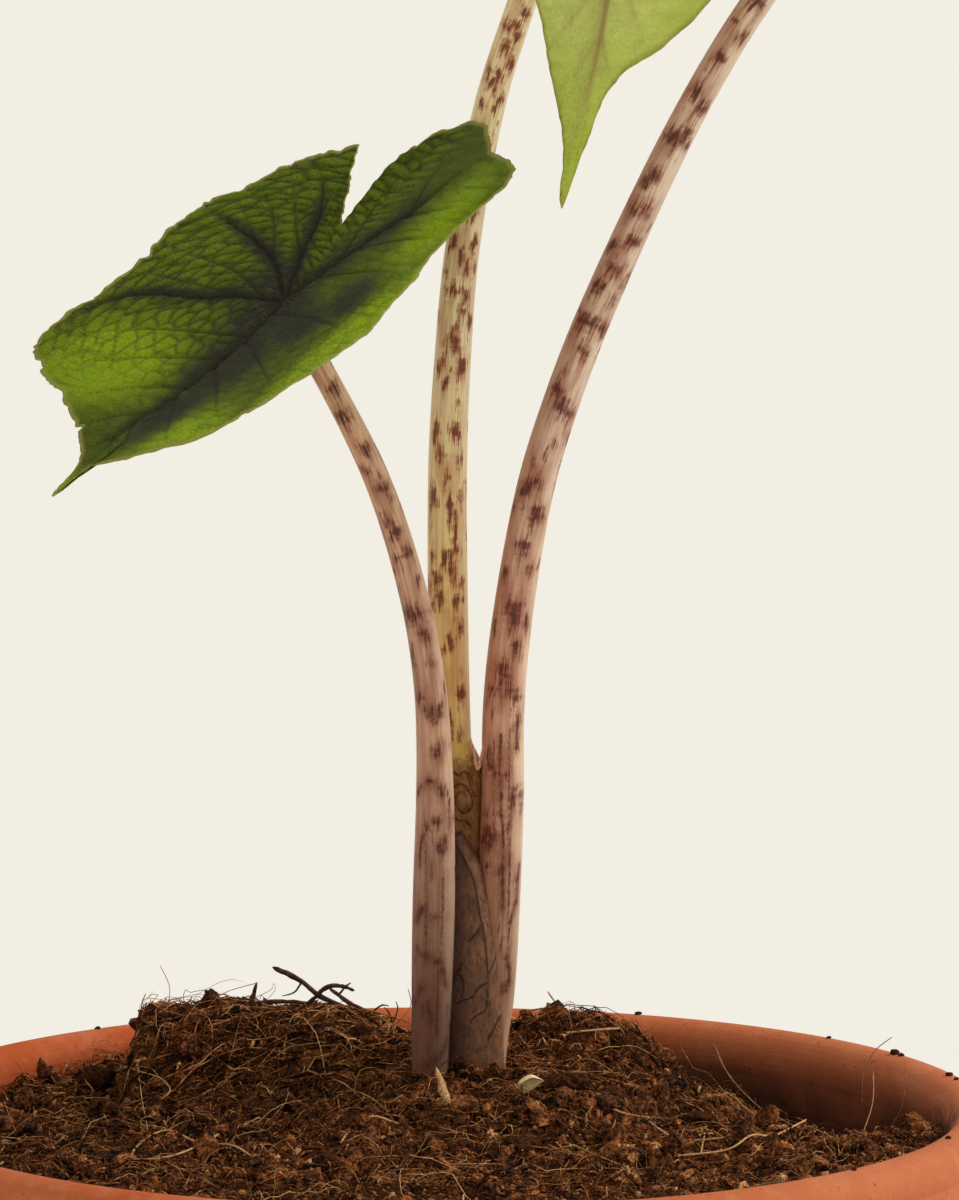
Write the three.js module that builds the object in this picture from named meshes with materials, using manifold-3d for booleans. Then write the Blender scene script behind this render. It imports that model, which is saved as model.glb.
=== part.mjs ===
// A young alocasia in a terracotta pot: three leaves on long blotched petioles, standing in a
// mound of fibrous potting mix. Millimetres, +Z up. The origin is the centre of the pot's
// underside. The view from -Y shows the left leaf's upper side.
import * as THREE from 'three';
import { mergeVertices } from 'three/addons/utils/BufferGeometryUtils.js';
import Module from 'manifold-3d';

const wasm = await Module();
wasm.setup();

// Driving dimensions
const GAP = 0.3;                 // clearance between pieces that touch
const ROOM = 1.15 * GAP;         // clearance cut round a many-sided rod, whose flats lie closer
const POT_HEIGHT = 140;
const POT_RIM_RADIUS = 78;       // outside of the rim
const POT_BASE_RADIUS = 52.5;
const POT_FLOOR = 8;             // thickness of the pot's floor
const POT_INNER_BASE_RADIUS = 46;
const LIP_RADIUS = 3.5;          // the rim's rounded lip
const COLLAR_FOOT = 110;         // height at which the band below the lip starts
const DRAIN_HOLE_SIDES = 12;
const DRAIN_HOLE_RADIUS = 6;
const DRAIN_HOLE_CIRCLE = 22;    // the three holes' centres lie on this radius
const POT_SIDES = 48;
const LIP_STEPS = 6;

const MIX_LEVEL = POT_HEIGHT - 3;
const MIX_WALL_HEIGHTS = [60, 104];
const MIX_RINGS = [1, 0.92, 0.83, 0.73, 0.62, 0.51, 0.4, 0.29, 0.17, 0];

const CORM_TOP = 121.5;
const CORM_AXIS = [4, 1.5];
const CORM_SIDES = 24;
const ROOT_COUNT = 6;
const STEM_FOOT = CORM_TOP + GAP;
const THROAT = { x: 3.9, y: 1.6, rx: 6.6, ry: 5.6, from: 117, to: 156, sides: 28 };
const SHEATH_SIDES = 14;
const CATAPHYLL_POWER = 3;       // its section is squarer than an ellipse

const BLADE_THICKNESS = 0.9;     // at the midrib
const BLADE_EDGE_THICKNESS = 0.5;
const BLADE_HALF_WIDTH = 25;
const BLADE_RINGS = 5;
const MARGIN_SPACING = 5.5;      // between the outline's points

// Outer wall of the pot, from the foot over the band's step to the lip: [height, radius]
const POT_OUTER_WALL = [
  [0, POT_BASE_RADIUS - 1.5], [1.5, POT_BASE_RADIUS], [42, 60], [82, 67],
  [COLLAR_FOOT - 1.5, 71.8], [COLLAR_FOOT, 72.4], [COLLAR_FOOT + 0.6, 74.8], [COLLAR_FOOT + 2, 75.8],
];
// Inner wall of the pot, from the floor to the lip: [height, radius]
const POT_INNER_WALL = [
  [POT_FLOOR, POT_INNER_BASE_RADIUS],
  [105, 64.5],
  [112, 67.5],
  [POT_HEIGHT - LIP_RADIUS, POT_RIM_RADIUS - 2 * LIP_RADIUS],
];

// Petioles: [x, y, z, half width], from the corm up to the blade
const LEFT_PETIOLE = [
  [-0.3, -1.2, STEM_FOOT, 2.3], [-0.3, -1.6, 146, 2.5], [-0.1, -1.8, 155, 2.8],
  [0.2, -2.1, 169, 2.95], [0.4, -3.2, 182, 2.6], [0.2, -4.2, 191, 2.35],
  [-0.4, -5.0, 199, 2.15], [-2.3, -6.7, 210, 1.95], [-7.1, -9.3, 226, 1.8],
  [-15.0, -12.8, 242.4, 1.55], [-20.6, -14.4, 252.2, 1.7],
];
const CENTRE_PETIOLE = [
  [3.2, 4.4, STEM_FOOT, 2.5], [3.2, 4.4, 146, 2.6], [3.1, 4.5, 181, 2.7], [2.5, 4.6, 192, 2.75],
  [2.1, 4.6, 210, 2.75], [2.1, 4.7, 228, 2.65], [2.7, 4.8, 241, 2.5], [4.2, 4.9, 257.5, 2.35],
  [8.0, 5.0, 277, 2.1], [12.2, 4.1, 290.3, 1.95], [16.0, 1.4, 301, 1.85],
  [20.0, -5.0, 310.5, 1.8], [23.5, -13.0, 316.2, 1.7], [26.2, -22.6, 318.8, 1.8],
];
const RIGHT_PETIOLE = [
  [7.5, 1.8, STEM_FOOT, 2.3], [7.7, 2.0, 146, 2.4], [8.5, 2.1, 154, 2.75], [9.1, 2.1, 168, 3.0],
  [9.6, 2.1, 182, 2.9], [9.8, 2.1, 195, 2.85], [11.2, 2.1, 208.5, 2.7], [14.2, 2.1, 225, 2.55],
  [17.2, 2.1, 235, 2.5], [22.1, 2.1, 248, 2.45], [34.2, 2.1, 274, 2.15], [43.8, 2.1, 290.3, 2.0],
  [52, 2.4, 300.6, 1.9], [61, 3, 309.4, 1.8], [70, 4, 315.2, 1.75], [79.5, 5, 318.4, 1.8],
];

// Sheaths around the petioles' bases: [x, y, z, half width, half depth]
const OUTER_CATAPHYLL = [
  [5.2, 1.6, STEM_FOOT, 3.9, 3.7], [5.7, 1.6, 147, 4.2, 3.9], [5.4, 1.6, 155, 4.2, 4.0],
  [4.9, 1.6, 164, 3.6, 3.9], [4.1, 1.4, 172, 2.6, 3.4], [2.9, 0.6, 177, 1.2, 2.2],
];
const INNER_SHEATH = [
  [3.1, 4.4, STEM_FOOT, 3.4, 3.4], [3.1, 4.4, 150, 3.6, 3.6], [3.0, 4.5, 181, 3.6, 3.6],
  [2.8, 4.6, 188.4, 3.4, 3.4],
];

// Blades: margins in the flat leaf, [across, along] from the petiole's joint with +along to the
// tip. Each margin is a smooth curve, and the four meet at the tip, the lobes and the notch.
const LEFT_MARGINS = [
  [[-4.5, 47.5], [2, 37], [15, 28.5], [28.5, 21.5], [30.5, 14.5], [29, 5.5], [29.5, -3],
    [29, -11], [23.5, -19.5], [19, -25.5], [13, -29.5]],
  [[13, -29.5], [7, -20.5], [3, -15]],
  [[3, -15], [4.5, -23], [2, -30], [-6, -35.5]],
  [[-6, -35.5], [-17.5, -31], [-20.5, -23], [-20.5, -17], [-21.5, -11.5], [-24, -1],
    [-25.5, 6], [-24, 13.5], [-18, 31], [-8, 37], [-3, 40], [-4.5, 47.5]],
];
const HALF_MARGIN = [
  [0, 60], [1.4, 53], [2.9, 49], [4.6, 45.5], [7, 42], [11.3, 34], [16.5, 26], [21.5, 17],
  [24.5, 8], [25.5, -1], [24.8, -10], [22.5, -18], [18.5, -25.5], [13, -31],
];
const HALF_NOTCH = [[13, -31], [7, -22], [3, -16], [0, -12]];

const BLADES = {
  leaf_blade_left: {
    joint: [-19.85, -14, 251.3], along: [-0.65, -0.516, -0.558], across: [-0.642, 0.765, 0.041],
    curl: -0.003, backCurl: -0.003, fold: [0.12, 0.09], margins: LEFT_MARGINS,
  },
  leaf_blade_centre: {
    joint: [26, -22, 318], along: [-0.265, -0.69, -0.674], across: [-0.933, 0.359, 0],
    curl: 0.012, backCurl: 0.006, fold: [0.2, 0.2], margins: pairedMargins(1),
  },
  leaf_blade_right: {
    joint: [78, 5, 316.5], along: [0.75, -0.35, -0.56], across: [-0.423, -0.906, 0],
    curl: 0.008, backCurl: 0.004, fold: [0.16, 0.16], margins: pairedMargins(1.05),
  },
};

// Litter on the mix: tapered rods given as [x, y, z, radius]
const TWIG_RODS = [
  [[-10.2, 26, 147.7, 0.4], [-13.2, 26, 148.7, 0.55], [-16.3, 26, 150.2, 0.75],
    [-20.5, 26, 153.2, 0.6], [-22.8, 26, 154.2, 0.45]],
  [[-16.2, 26.1, 150.2, 0.4], [-18, 26.6, 148.7, 0.45], [-19.6, 26.9, 147.3, 0.35]],
  [[-16.4, 25.9, 150.3, 0.45], [-14.9, 25.6, 151.4, 0.6], [-11.1, 25.2, 150.9, 0.35]],
  [[-14.8, 25.5, 151.3, 0.35], [-11.6, 23.6, 149.3, 0.4], [-8.9, 22.4, 148.1, 0.4],
    [-4.8, 20, 145.8, 0.3]],
];
const DARK_SPLINTER_RODS = [
  [[-26.2, 27, 146.6, 0.45], [-25.7, 27, 149, 0.5], [-24.9, 27, 151.9, 0.12]],
];
const PALE_SPLINTER_RODS = [
  [[1.9, -8.4, 142.4, 0.35], [1.3, -8.2, 144.2, 0.5], [0.8, -8, 146.2, 0.15]],
];
const BARK_LUMP = { at: [-47.3, 26, 138.2], size: [2.6, 2.1, 1.9] };
const SEED_HUSK = { at: [13.4, -6, 143.6], size: [1.9, 1.2, 0.9] };

const FINISH = {
  terracotta: [0xb9795d, 0.85],
  mix: [0x2b1a12, 1],
  corm: [0x6b4a33, 0.9],
  leftPetiole: [0x9b7566, 0.6],
  centrePetiole: [0xc4b386, 0.6],
  rightPetiole: [0xa97f6b, 0.6],
  cataphyll: [0x5b4035, 0.7],
  sheath: [0x6f5a2e, 0.6],
  darkLeaf: [0x2f5a1c, 0.55],
  paleLeaf: [0x93a73a, 0.55],
  wood: [0x4a3226, 0.9],
  paleWood: [0xb59469, 0.85],
  husk: [0xc9b27e, 0.8],
};

// A closed solid from a closed geometry, with its faces pointing out
function solidOf(geometry) {
  const bare = geometry.clone();
  bare.deleteAttribute('normal');
  bare.deleteAttribute('uv');
  const merged = mergeVertices(bare, 1e-5);
  const position = merged.getAttribute('position').array;
  const index = Uint32Array.from(merged.getIndex().array);
  const corner = (i) => new THREE.Vector3().fromArray(position, 3 * i);
  const kept = [];
  let volume = 0;
  for (let i = 0; i < index.length; i += 3) {
    const [a, b, c] = [index[i], index[i + 1], index[i + 2]];
    if (a === b || b === c || c === a) continue;
    kept.push(a, b, c);
    volume += corner(a).dot(corner(b).cross(corner(c)));
  }
  if (volume < 0) kept.reverse();
  const mesh = { numProp: 3, vertProperties: position, triVerts: Uint32Array.from(kept) };
  return new wasm.Manifold(new wasm.Mesh(mesh));
}

// The largest of a solid's separate bodies
function largestBody(solid) {
  const bodies = solid.decompose();
  return bodies.reduce((best, body) => (body.volume() > best.volume() ? body : best));
}

// All the solids joined
function union(solids) {
  return solids.reduce((sum, solid) => sum.add(solid));
}

// The solid with every cutter taken away
function without(solid, cutters) {
  return cutters.reduce((rest, cutter) => rest.subtract(cutter), solid);
}

// A named mesh with its own material
function piece(name, solid, [color, roughness]) {
  const { vertProperties, triVerts } = solid.getMesh();
  const geometry = new THREE.BufferGeometry();
  geometry.setAttribute('position', new THREE.BufferAttribute(vertProperties, 3));
  geometry.setIndex(new THREE.BufferAttribute(triVerts, 1));
  geometry.computeVertexNormals();
  const material = new THREE.MeshStandardMaterial({ color, roughness, metalness: 0 });
  const mesh = new THREE.Mesh(geometry, material);
  mesh.name = name;
  return mesh;
}

// A body of revolution about +Z from [radius, height] pairs that start and end on the axis
function turned(profile, sides) {
  const points = profile.map(([radius, height]) => new THREE.Vector2(radius, height));
  return new THREE.LatheGeometry(points, sides).rotateX(Math.PI / 2);
}

// A smooth path through control points that start with x, y, z
function pathThrough(controls) {
  const path = new THREE.CatmullRomCurve3(controls.map(([x, y, z]) => new THREE.Vector3(x, y, z)));
  path.curveType = 'centripetal';
  return path;
}

// Control points with both ends moved outwards along the path
function lengthened(controls, distance) {
  const path = pathThrough(controls);
  const start = path.getPoint(0).addScaledVector(path.getTangent(0), -distance);
  const end = path.getPoint(1).addScaledVector(path.getTangent(1), distance);
  const first = [...start.toArray(), ...controls[0].slice(3)];
  const last = [...end.toArray(), ...controls[controls.length - 1].slice(3)];
  return [first, ...controls.slice(1, -1), last];
}

// A rod along control points [x, y, z, half width, half depth]. Its section is an ellipse, or
// squarer than one where power is over 2, and grow adds a clearance all round.
function rod(route, { sides = 10, stepsPerSpan = 2, power = 2, grow = 0 } = {}) {
  const controls = lengthened(route, grow);
  const path = pathThrough(controls);
  const spans = controls.length - 1;
  const steps = spans * stepsPerSpan;
  const geometry = new THREE.CylinderGeometry(1, 1, 1, sides, steps);
  const position = geometry.getAttribute('position');
  for (let i = 0; i < position.count; i += 1) {
    const section = new THREE.Vector2(position.getX(i), -position.getZ(i));
    const t = THREE.MathUtils.clamp(position.getY(i) + 0.5, 0, 1);
    const span = Math.min(Math.floor(t * spans), spans - 1);
    const blend = t * spans - span;
    const [, , , widthA, depthA = widthA] = controls[span];
    const [, , , widthB, depthB = widthB] = controls[span + 1];
    const width = THREE.MathUtils.lerp(widthA, widthB, blend) + grow;
    const depth = THREE.MathUtils.lerp(depthA, depthB, blend) + grow;
    if (section.length() > 0.5) {
      const norm = (Math.abs(section.x) ** power + Math.abs(section.y) ** power) ** (1 / power);
      section.divideScalar(norm);
    }
    const tangent = path.getTangent(t);
    const side = new THREE.Vector3(1, 0, 0).projectOnPlane(tangent).normalize();
    const front = new THREE.Vector3().crossVectors(tangent, side);
    const point = path.getPoint(t)
      .addScaledVector(side, section.x * width)
      .addScaledVector(front, section.y * depth);
    position.setXYZ(i, point.x, point.y, point.z);
  }
  return geometry;
}

// The space that a rod takes with a clearance all round
function roomFor(controls, options = {}) {
  return solidOf(rod(controls, { ...options, grow: ROOM }));
}

// The margins of a blade whose two halves are alike
function pairedMargins(scale) {
  const sized = (points) => points.map(([across, along]) => [across * scale, along * scale]);
  const mirrored = (points) => points.map(([across, along]) => [-across, along]).reverse();
  const outer = sized(HALF_MARGIN);
  const notch = sized(HALF_NOTCH);
  return [outer, notch, mirrored(notch), mirrored(outer)];
}

// The blade's whole outline as evenly spread points along its four margins
function outlineOf(margins, spacing) {
  const outline = [];
  for (const margin of margins) {
    const curve = new THREE.CatmullRomCurve3(margin.map(([x, y]) => new THREE.Vector3(x, y, 0)));
    curve.curveType = 'centripetal';
    const count = Math.max(2, Math.round(curve.getLength() / spacing));
    for (let i = 0; i < count; i += 1) {
      const point = curve.getPointAt(i / count);
      outline.push([point.x, point.y]);
    }
  }
  return outline;
}

// A point of the bent blade: the midrib curls as an arc and each half is folded up about it
function bladePoint(blade, across, along, height) {
  const tip = new THREE.Vector3(...blade.along).normalize();
  const side = new THREE.Vector3(...blade.across).projectOnPlane(tip).normalize();
  const up = new THREE.Vector3().crossVectors(side, tip);
  const curl = along >= 0 ? blade.curl : blade.backCurl;
  const turn = curl * Math.abs(along);
  const forward = Math.sign(along) * Math.sin(turn) / curl;
  const drop = (1 - Math.cos(turn)) / curl;
  const fold = blade.fold[across >= 0 ? 0 : 1];
  const lift = Math.abs(across) * Math.sin(fold) + height;
  return new THREE.Vector3(...blade.joint)
    .addScaledVector(tip, forward + Math.sign(along) * Math.sin(turn) * lift)
    .addScaledVector(side, across * Math.cos(fold))
    .addScaledVector(up, Math.cos(turn) * lift - drop);
}

// The blade as a thin closed lens, drawn from a turned disc whose rings follow the outline
function bladeGeometry(blade, extra = 0) {
  const outline = outlineOf(blade.margins, MARGIN_SPACING);
  const profile = [];
  for (let ring = 0; ring <= BLADE_RINGS; ring += 1) profile.push([ring / BLADE_RINGS, -1]);
  for (let ring = BLADE_RINGS; ring >= 0; ring -= 1) profile.push([ring / BLADE_RINGS, 1]);
  const geometry = turned(profile, outline.length);
  const position = geometry.getAttribute('position');
  for (let i = 0; i < position.count; i += 1) {
    const [reach, face] = profile[i % profile.length];
    const [across, along] = outline[Math.floor(i / profile.length) % outline.length];
    const grown = reach * (1 + extra / BLADE_HALF_WIDTH);
    const thickness = THREE.MathUtils.lerp(BLADE_THICKNESS, BLADE_EDGE_THICKNESS, reach);
    const height = face * (thickness / 2 + extra);
    const point = bladePoint(blade, across * grown, along * grown, height);
    position.setXYZ(i, point.x, point.y, point.z);
  }
  return geometry;
}

// The pot's inner radius at a height
function potInnerRadius(height) {
  const wall = POT_INNER_WALL;
  const upper = Math.max(1, wall.findIndex(([z]) => z >= height));
  const [[z0, r0], [z1, r1]] = [wall[upper - 1], wall[upper]];
  return THREE.MathUtils.mapLinear(height, z0, z1, r0, r1);
}

// The pot: a tapered wall, a stepped collar band, a round lip and three drain holes
function potSolid() {
  const lip = [];
  for (let i = 0; i <= LIP_STEPS; i += 1) {
    const angle = Math.PI * i / LIP_STEPS;
    lip.push([
      POT_RIM_RADIUS - LIP_RADIUS + LIP_RADIUS * Math.cos(angle),
      POT_HEIGHT - LIP_RADIUS + LIP_RADIUS * Math.sin(angle),
    ]);
  }
  const radiusFirst = ([height, radius]) => [radius, height];
  const profile = [
    [0, 0], ...POT_OUTER_WALL.map(radiusFirst), ...lip,
    ...POT_INNER_WALL.slice(0, -1).reverse().map(radiusFirst), [0, POT_FLOOR],
  ];
  const holes = [0, 1, 2].map((i) => {
    const angle = Math.PI / 2 + i * 2 * Math.PI / 3;
    const hole = new THREE.CylinderGeometry(1, 1, 3 * POT_FLOOR, DRAIN_HOLE_SIDES);
    hole.rotateX(Math.PI / 2).scale(DRAIN_HOLE_RADIUS, DRAIN_HOLE_RADIUS, 1);
    hole.translate(DRAIN_HOLE_CIRCLE * Math.cos(angle), DRAIN_HOLE_CIRCLE * Math.sin(angle), 0);
    return solidOf(hole);
  });
  return without(solidOf(turned(profile, POT_SIDES)), holes);
}

const bump = (x, y, cx, cy, sx, sy) => Math.exp(-(((x - cx) / sx) ** 2) - ((y - cy) / sy) ** 2);
const rise = (value, from, to) => THREE.MathUtils.smoothstep(value, from, to);

// Height of the mix: a mound round the plant, a root ball's block at the back left, a second
// mound behind the stems and a hollow at the right
function mixTop(x, y) {
  const block = rise(x, -44, -41) * (1 - rise(x, -16, 4)) * rise(y, 0, 18) * (1 - rise(y, 36, 54));
  const corner = rise(x, -44, -41) * (1 - rise(x, -30, -20)) * rise(y, 10, 22)
    * (1 - rise(y, 36, 54));
  return MIX_LEVEL + 7.5 * bump(x, y, 3, 2, 30, 24) + 9 * bump(x, y, 22, 24, 17, 13)
    + 8.5 * block + 1.5 * corner - 3 * bump(x, y, -62, 20, 18, 36)
    - 13 * bump(x, y, 57, 30, 20, 26) - 7 * bump(x, y, 20, 64, 40, 16);
}

// The mix fills the pot: its side follows the pot's inner wall and its top is the height above
function mixSolid() {
  const floor = POT_FLOOR + GAP;
  const wall = [floor, ...MIX_WALL_HEIGHTS].map((z) => [potInnerRadius(z) - GAP, z]);
  const profile = [[0, floor], ...wall, ...MIX_RINGS.map((fraction) => [fraction, POT_HEIGHT])];
  const geometry = turned(profile, POT_SIDES);
  const position = geometry.getAttribute('position');
  for (let i = 0; i < position.count; i += 1) {
    const row = i % profile.length;
    if (row <= wall.length) continue;
    const angle = turnedAngle(Math.floor(i / profile.length), POT_SIDES);
    let edge = potInnerRadius(MIX_LEVEL) - GAP;
    for (let pass = 0; pass < 4; pass += 1) {
      edge = potInnerRadius(mixTop(edge * Math.cos(angle), edge * Math.sin(angle))) - GAP;
    }
    const reach = profile[row][0] * edge;
    const [x, y] = [reach * Math.cos(angle), reach * Math.sin(angle)];
    position.setXYZ(i, x, y, mixTop(x, y));
  }
  return solidOf(geometry);
}

// The direction in which a turned body's numbered meridian lies
function turnedAngle(meridian, sides) {
  const phi = (meridian % sides) * 2 * Math.PI / sides;
  return Math.atan2(-Math.cos(phi), Math.sin(phi));
}

// The corm that carries the petioles, with its main roots spreading through the mix
function cormSolid(grow) {
  const [cx, cy] = CORM_AXIS;
  const profile = [[0, 96 - grow], [5, 97.5 - grow], [9, 102], [11, 108], [10.5, 114], [8.6, 119],
    [8, CORM_TOP + grow], [0, CORM_TOP + grow]];
  const body = turned(profile.map(([r, z]) => [r === 0 ? 0 : r + grow, z]), CORM_SIDES);
  body.translate(cx, cy, 0);
  const roots = Array.from({ length: ROOT_COUNT }, (_, i) => {
    const angle = 0.5 + i * 2 * Math.PI / ROOT_COUNT;
    const reach = [6, 14, 22, 29].map((r) => [cx + r * Math.cos(angle), cy + r * Math.sin(angle)]);
    const drop = [104, 97 - (i % 2) * 3, 84 - (i % 3) * 4, 66 - (i % 2) * 9];
    const controls = reach.map(([x, y], j) => [x, y, drop[j], 1.6 - 0.3 * j]);
    return solidOf(rod(controls, { sides: 6, stepsPerSpan: 2, grow }));
  });
  return union([solidOf(body), ...roots]);
}

// The open throat in the mix through which the petioles and sheaths rise
function throatSolid() {
  const { x, y, rx, ry, from, to, sides } = THROAT;
  const throat = new THREE.CylinderGeometry(1, 1, to - from, sides).rotateX(Math.PI / 2);
  throat.scale(rx, ry, 1).translate(x, y, (from + to) / 2);
  return solidOf(throat);
}

// Several thin rods joined in one piece
function rodsSolid(rods, grow) {
  return union(rods.map((controls) => solidOf(rod(controls, { sides: 7, stepsPerSpan: 1, grow }))));
}

// A rough rounded lump, its surface pushed in and out by a few waves
function lumpSolid({ at, size }, grow) {
  const geometry = new THREE.SphereGeometry(1, 10, 7);
  const position = geometry.getAttribute('position');
  for (let i = 0; i < position.count; i += 1) {
    const { x, y, z } = new THREE.Vector3().fromBufferAttribute(position, i);
    const wave = 1 + 0.1 * Math.sin(4 * x + 1) * Math.cos(3 * y) + 0.06 * Math.sin(7 * z);
    position.setXYZ(i, x * wave, y * wave, z * wave);
  }
  geometry.scale(size[0] + grow, size[1] + grow, size[2] + grow).translate(...at);
  return solidOf(geometry);
}

// A petiole cut off just under its blade
function petioleUnder(controls, blade) {
  return largestBody(solidOf(rod(controls)).subtract(solidOf(bladeGeometry(blade, GAP))));
}

const leftPetiole = petioleUnder(LEFT_PETIOLE, BLADES.leaf_blade_left);
const centrePetiole = petioleUnder(CENTRE_PETIOLE, BLADES.leaf_blade_centre);
const rightPetiole = petioleUnder(RIGHT_PETIOLE, BLADES.leaf_blade_right);
const petioleRoom = [LEFT_PETIOLE, CENTRE_PETIOLE, RIGHT_PETIOLE].map((route) => roomFor(route));

const sheathSection = { sides: SHEATH_SIDES };
const cataphyllSection = { sides: SHEATH_SIDES, power: CATAPHYLL_POWER };
const sheathRoom = roomFor(INNER_SHEATH, sheathSection);
const cataphyllRoom = roomFor(OUTER_CATAPHYLL, cataphyllSection);

const innerSheath = largestBody(without(solidOf(rod(INNER_SHEATH, sheathSection)), petioleRoom));
const outerCataphyll = largestBody(without(
  solidOf(rod(OUTER_CATAPHYLL, cataphyllSection)),
  [...petioleRoom, sheathRoom],
));

const LITTER = [
  ['forked_twig', (grow) => rodsSolid(TWIG_RODS, grow), FINISH.wood],
  ['dark_splinter', (grow) => rodsSolid(DARK_SPLINTER_RODS, grow), FINISH.wood],
  ['pale_splinter', (grow) => rodsSolid(PALE_SPLINTER_RODS, grow), FINISH.paleWood],
  ['bark_lump', (grow) => lumpSolid(BARK_LUMP, grow), FINISH.wood],
  ['seed_husk', (grow) => lumpSolid(SEED_HUSK, grow), FINISH.husk],
];

const mix = largestBody(without(mixSolid(), [
  cormSolid(ROOM), throatSolid(), ...petioleRoom, sheathRoom, cataphyllRoom,
  ...LITTER.map(([, make]) => make(ROOM)),
]));

const plant = new THREE.Group();
plant.add(
  piece('corm_with_roots', cormSolid(0), FINISH.corm),
  piece('left_petiole', leftPetiole, FINISH.leftPetiole),
  piece('centre_petiole', centrePetiole, FINISH.centrePetiole),
  piece('right_petiole', rightPetiole, FINISH.rightPetiole),
  piece('outer_cataphyll', outerCataphyll, FINISH.cataphyll),
  piece('inner_sheath', innerSheath, FINISH.sheath),
  piece('leaf_blade_left', solidOf(bladeGeometry(BLADES.leaf_blade_left)), FINISH.darkLeaf),
  piece('leaf_blade_centre', solidOf(bladeGeometry(BLADES.leaf_blade_centre)), FINISH.paleLeaf),
  piece('leaf_blade_right', solidOf(bladeGeometry(BLADES.leaf_blade_right)), FINISH.darkLeaf),
);

const potted = new THREE.Group();
potted.add(
  piece('terracotta_pot', potSolid(), FINISH.terracotta),
  piece('potting_mix', mix, FINISH.mix),
  ...LITTER.map(([name, make, finish]) => piece(name, make(0), finish)),
  plant,
);

export default potted;
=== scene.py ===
import logging
import math
from dataclasses import dataclass, field
from enum import Enum
from typing import Callable, Sequence

import bmesh
import bpy
import numpy as np
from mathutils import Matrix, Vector


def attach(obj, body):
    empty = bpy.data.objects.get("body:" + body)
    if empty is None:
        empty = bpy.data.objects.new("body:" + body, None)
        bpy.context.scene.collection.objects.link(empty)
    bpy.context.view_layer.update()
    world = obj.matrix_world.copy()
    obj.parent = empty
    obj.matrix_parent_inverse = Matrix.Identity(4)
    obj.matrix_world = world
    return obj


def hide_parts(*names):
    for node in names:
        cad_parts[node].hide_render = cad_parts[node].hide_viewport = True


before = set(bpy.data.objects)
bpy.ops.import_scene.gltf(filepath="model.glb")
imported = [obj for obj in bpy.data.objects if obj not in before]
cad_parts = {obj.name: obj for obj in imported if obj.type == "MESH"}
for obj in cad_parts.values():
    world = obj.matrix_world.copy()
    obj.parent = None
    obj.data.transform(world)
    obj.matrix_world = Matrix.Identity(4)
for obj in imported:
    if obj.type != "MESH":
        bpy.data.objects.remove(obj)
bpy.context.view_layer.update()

LOG = logging.getLogger("potted_alocasia")
BODY = "root"
MM = 0.001
WELD = 1e-6
TURN = 2 * math.pi

Colour = tuple[float, float, float, float]
Socket = bpy.types.NodeSocket
Mesh = bpy.types.Mesh
Material = bpy.types.Material
Shell = bmesh.types.BMesh
Array = np.ndarray
Random = np.random.Generator
Number = Socket | float
Paint = Socket | Colour
Place = tuple[float, float, float]
Line = Sequence[tuple[float, float]]
Rows = Sequence[Sequence[float]]
Spots = Sequence[tuple[float, float, float, float, float]]
Strokes = Sequence[tuple[float, float, Line]]


def tint(red: int, green: int, blue: int) -> Colour:
    """A colour as the shaders take it.

    Args:
        red, green, blue: its values from 0 to 255, as on a colour chart.

    Returns:
        The same colour in linear values, opaque.
    """
    def linear(value: int) -> float:
        """One channel without the screen's curve."""
        part = value / 255
        return part / 12.92 if part <= 0.04045 else ((part + 0.055) / 1.055) ** 2.4
    return (linear(red), linear(green), linear(blue), 1.0)


def smooth(value: Array, start: float, end: float) -> Array:
    """A smooth step from 0 at start to 1 at end."""
    part = np.clip((value - start) / (end - start), 0, 1)
    return part * part * (3 - 2 * part)


def hump(x: Array, y: Array, at: Sequence[float], size: Sequence[float]) -> Array:
    """A rounded hump of height 1 round a place, as wide as size says along x and y."""
    return np.exp(-(((x - at[0]) / size[0]) ** 2) - ((y - at[1]) / size[1]) ** 2)


def scrambled(x: Array, y: Array, seed: float) -> Array:
    """A number from 0 to 1 that looks random but is always the same for the same place."""
    mixed = np.sin(x * 127.1 + y * 311.7 + seed * 74.7) * 43758.5453
    return mixed - np.floor(mixed)


def ripple(x: Array, y: Array, cell: float, seed: float) -> Array:
    """Soft bumps.

    Args:
        x, y: places.
        cell: about how wide one bump is.
        seed: picks other bumps.

    Returns:
        Values from -1 to 1.
    """
    across, along = x / cell, y / cell
    column, row = np.floor(across), np.floor(along)
    a, b = across - column, along - row
    a, b = a * a * (3 - 2 * a), b * b * (3 - 2 * b)
    near = scrambled(column, row, seed) * (1 - a) + scrambled(column + 1, row, seed) * a
    far = scrambled(column, row + 1, seed) * (1 - a) + scrambled(column + 1, row + 1, seed) * a
    return 2 * (near * (1 - b) + far * b) - 1


def cell_walls(x: Array, y: Array, cell: float, seed: float) -> Array:
    """How far each place lies from the walls of an irregular honeycomb, 0 on a wall.

    Args:
        x, y: places in millimetres.
        cell: about how wide one cell is.
        seed: picks another honeycomb.

    Returns:
        The distance to the nearest wall, in cells.
    """
    column, row = np.floor(x / cell), np.floor(y / cell)
    distances = []
    for across in (-1, 0, 1):
        for along in (-1, 0, 1):
            c, r = column + across, row + along
            away_x = x / cell - (c + 0.15 + 0.7 * scrambled(c, r, seed))
            away_y = y / cell - (r + 0.15 + 0.7 * scrambled(c, r, seed + 5.3))
            distances.append(np.hypot(away_x, away_y))
    ordered = np.partition(np.stack(distances), 1, axis=0)
    return ordered[1] - ordered[0]


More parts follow.
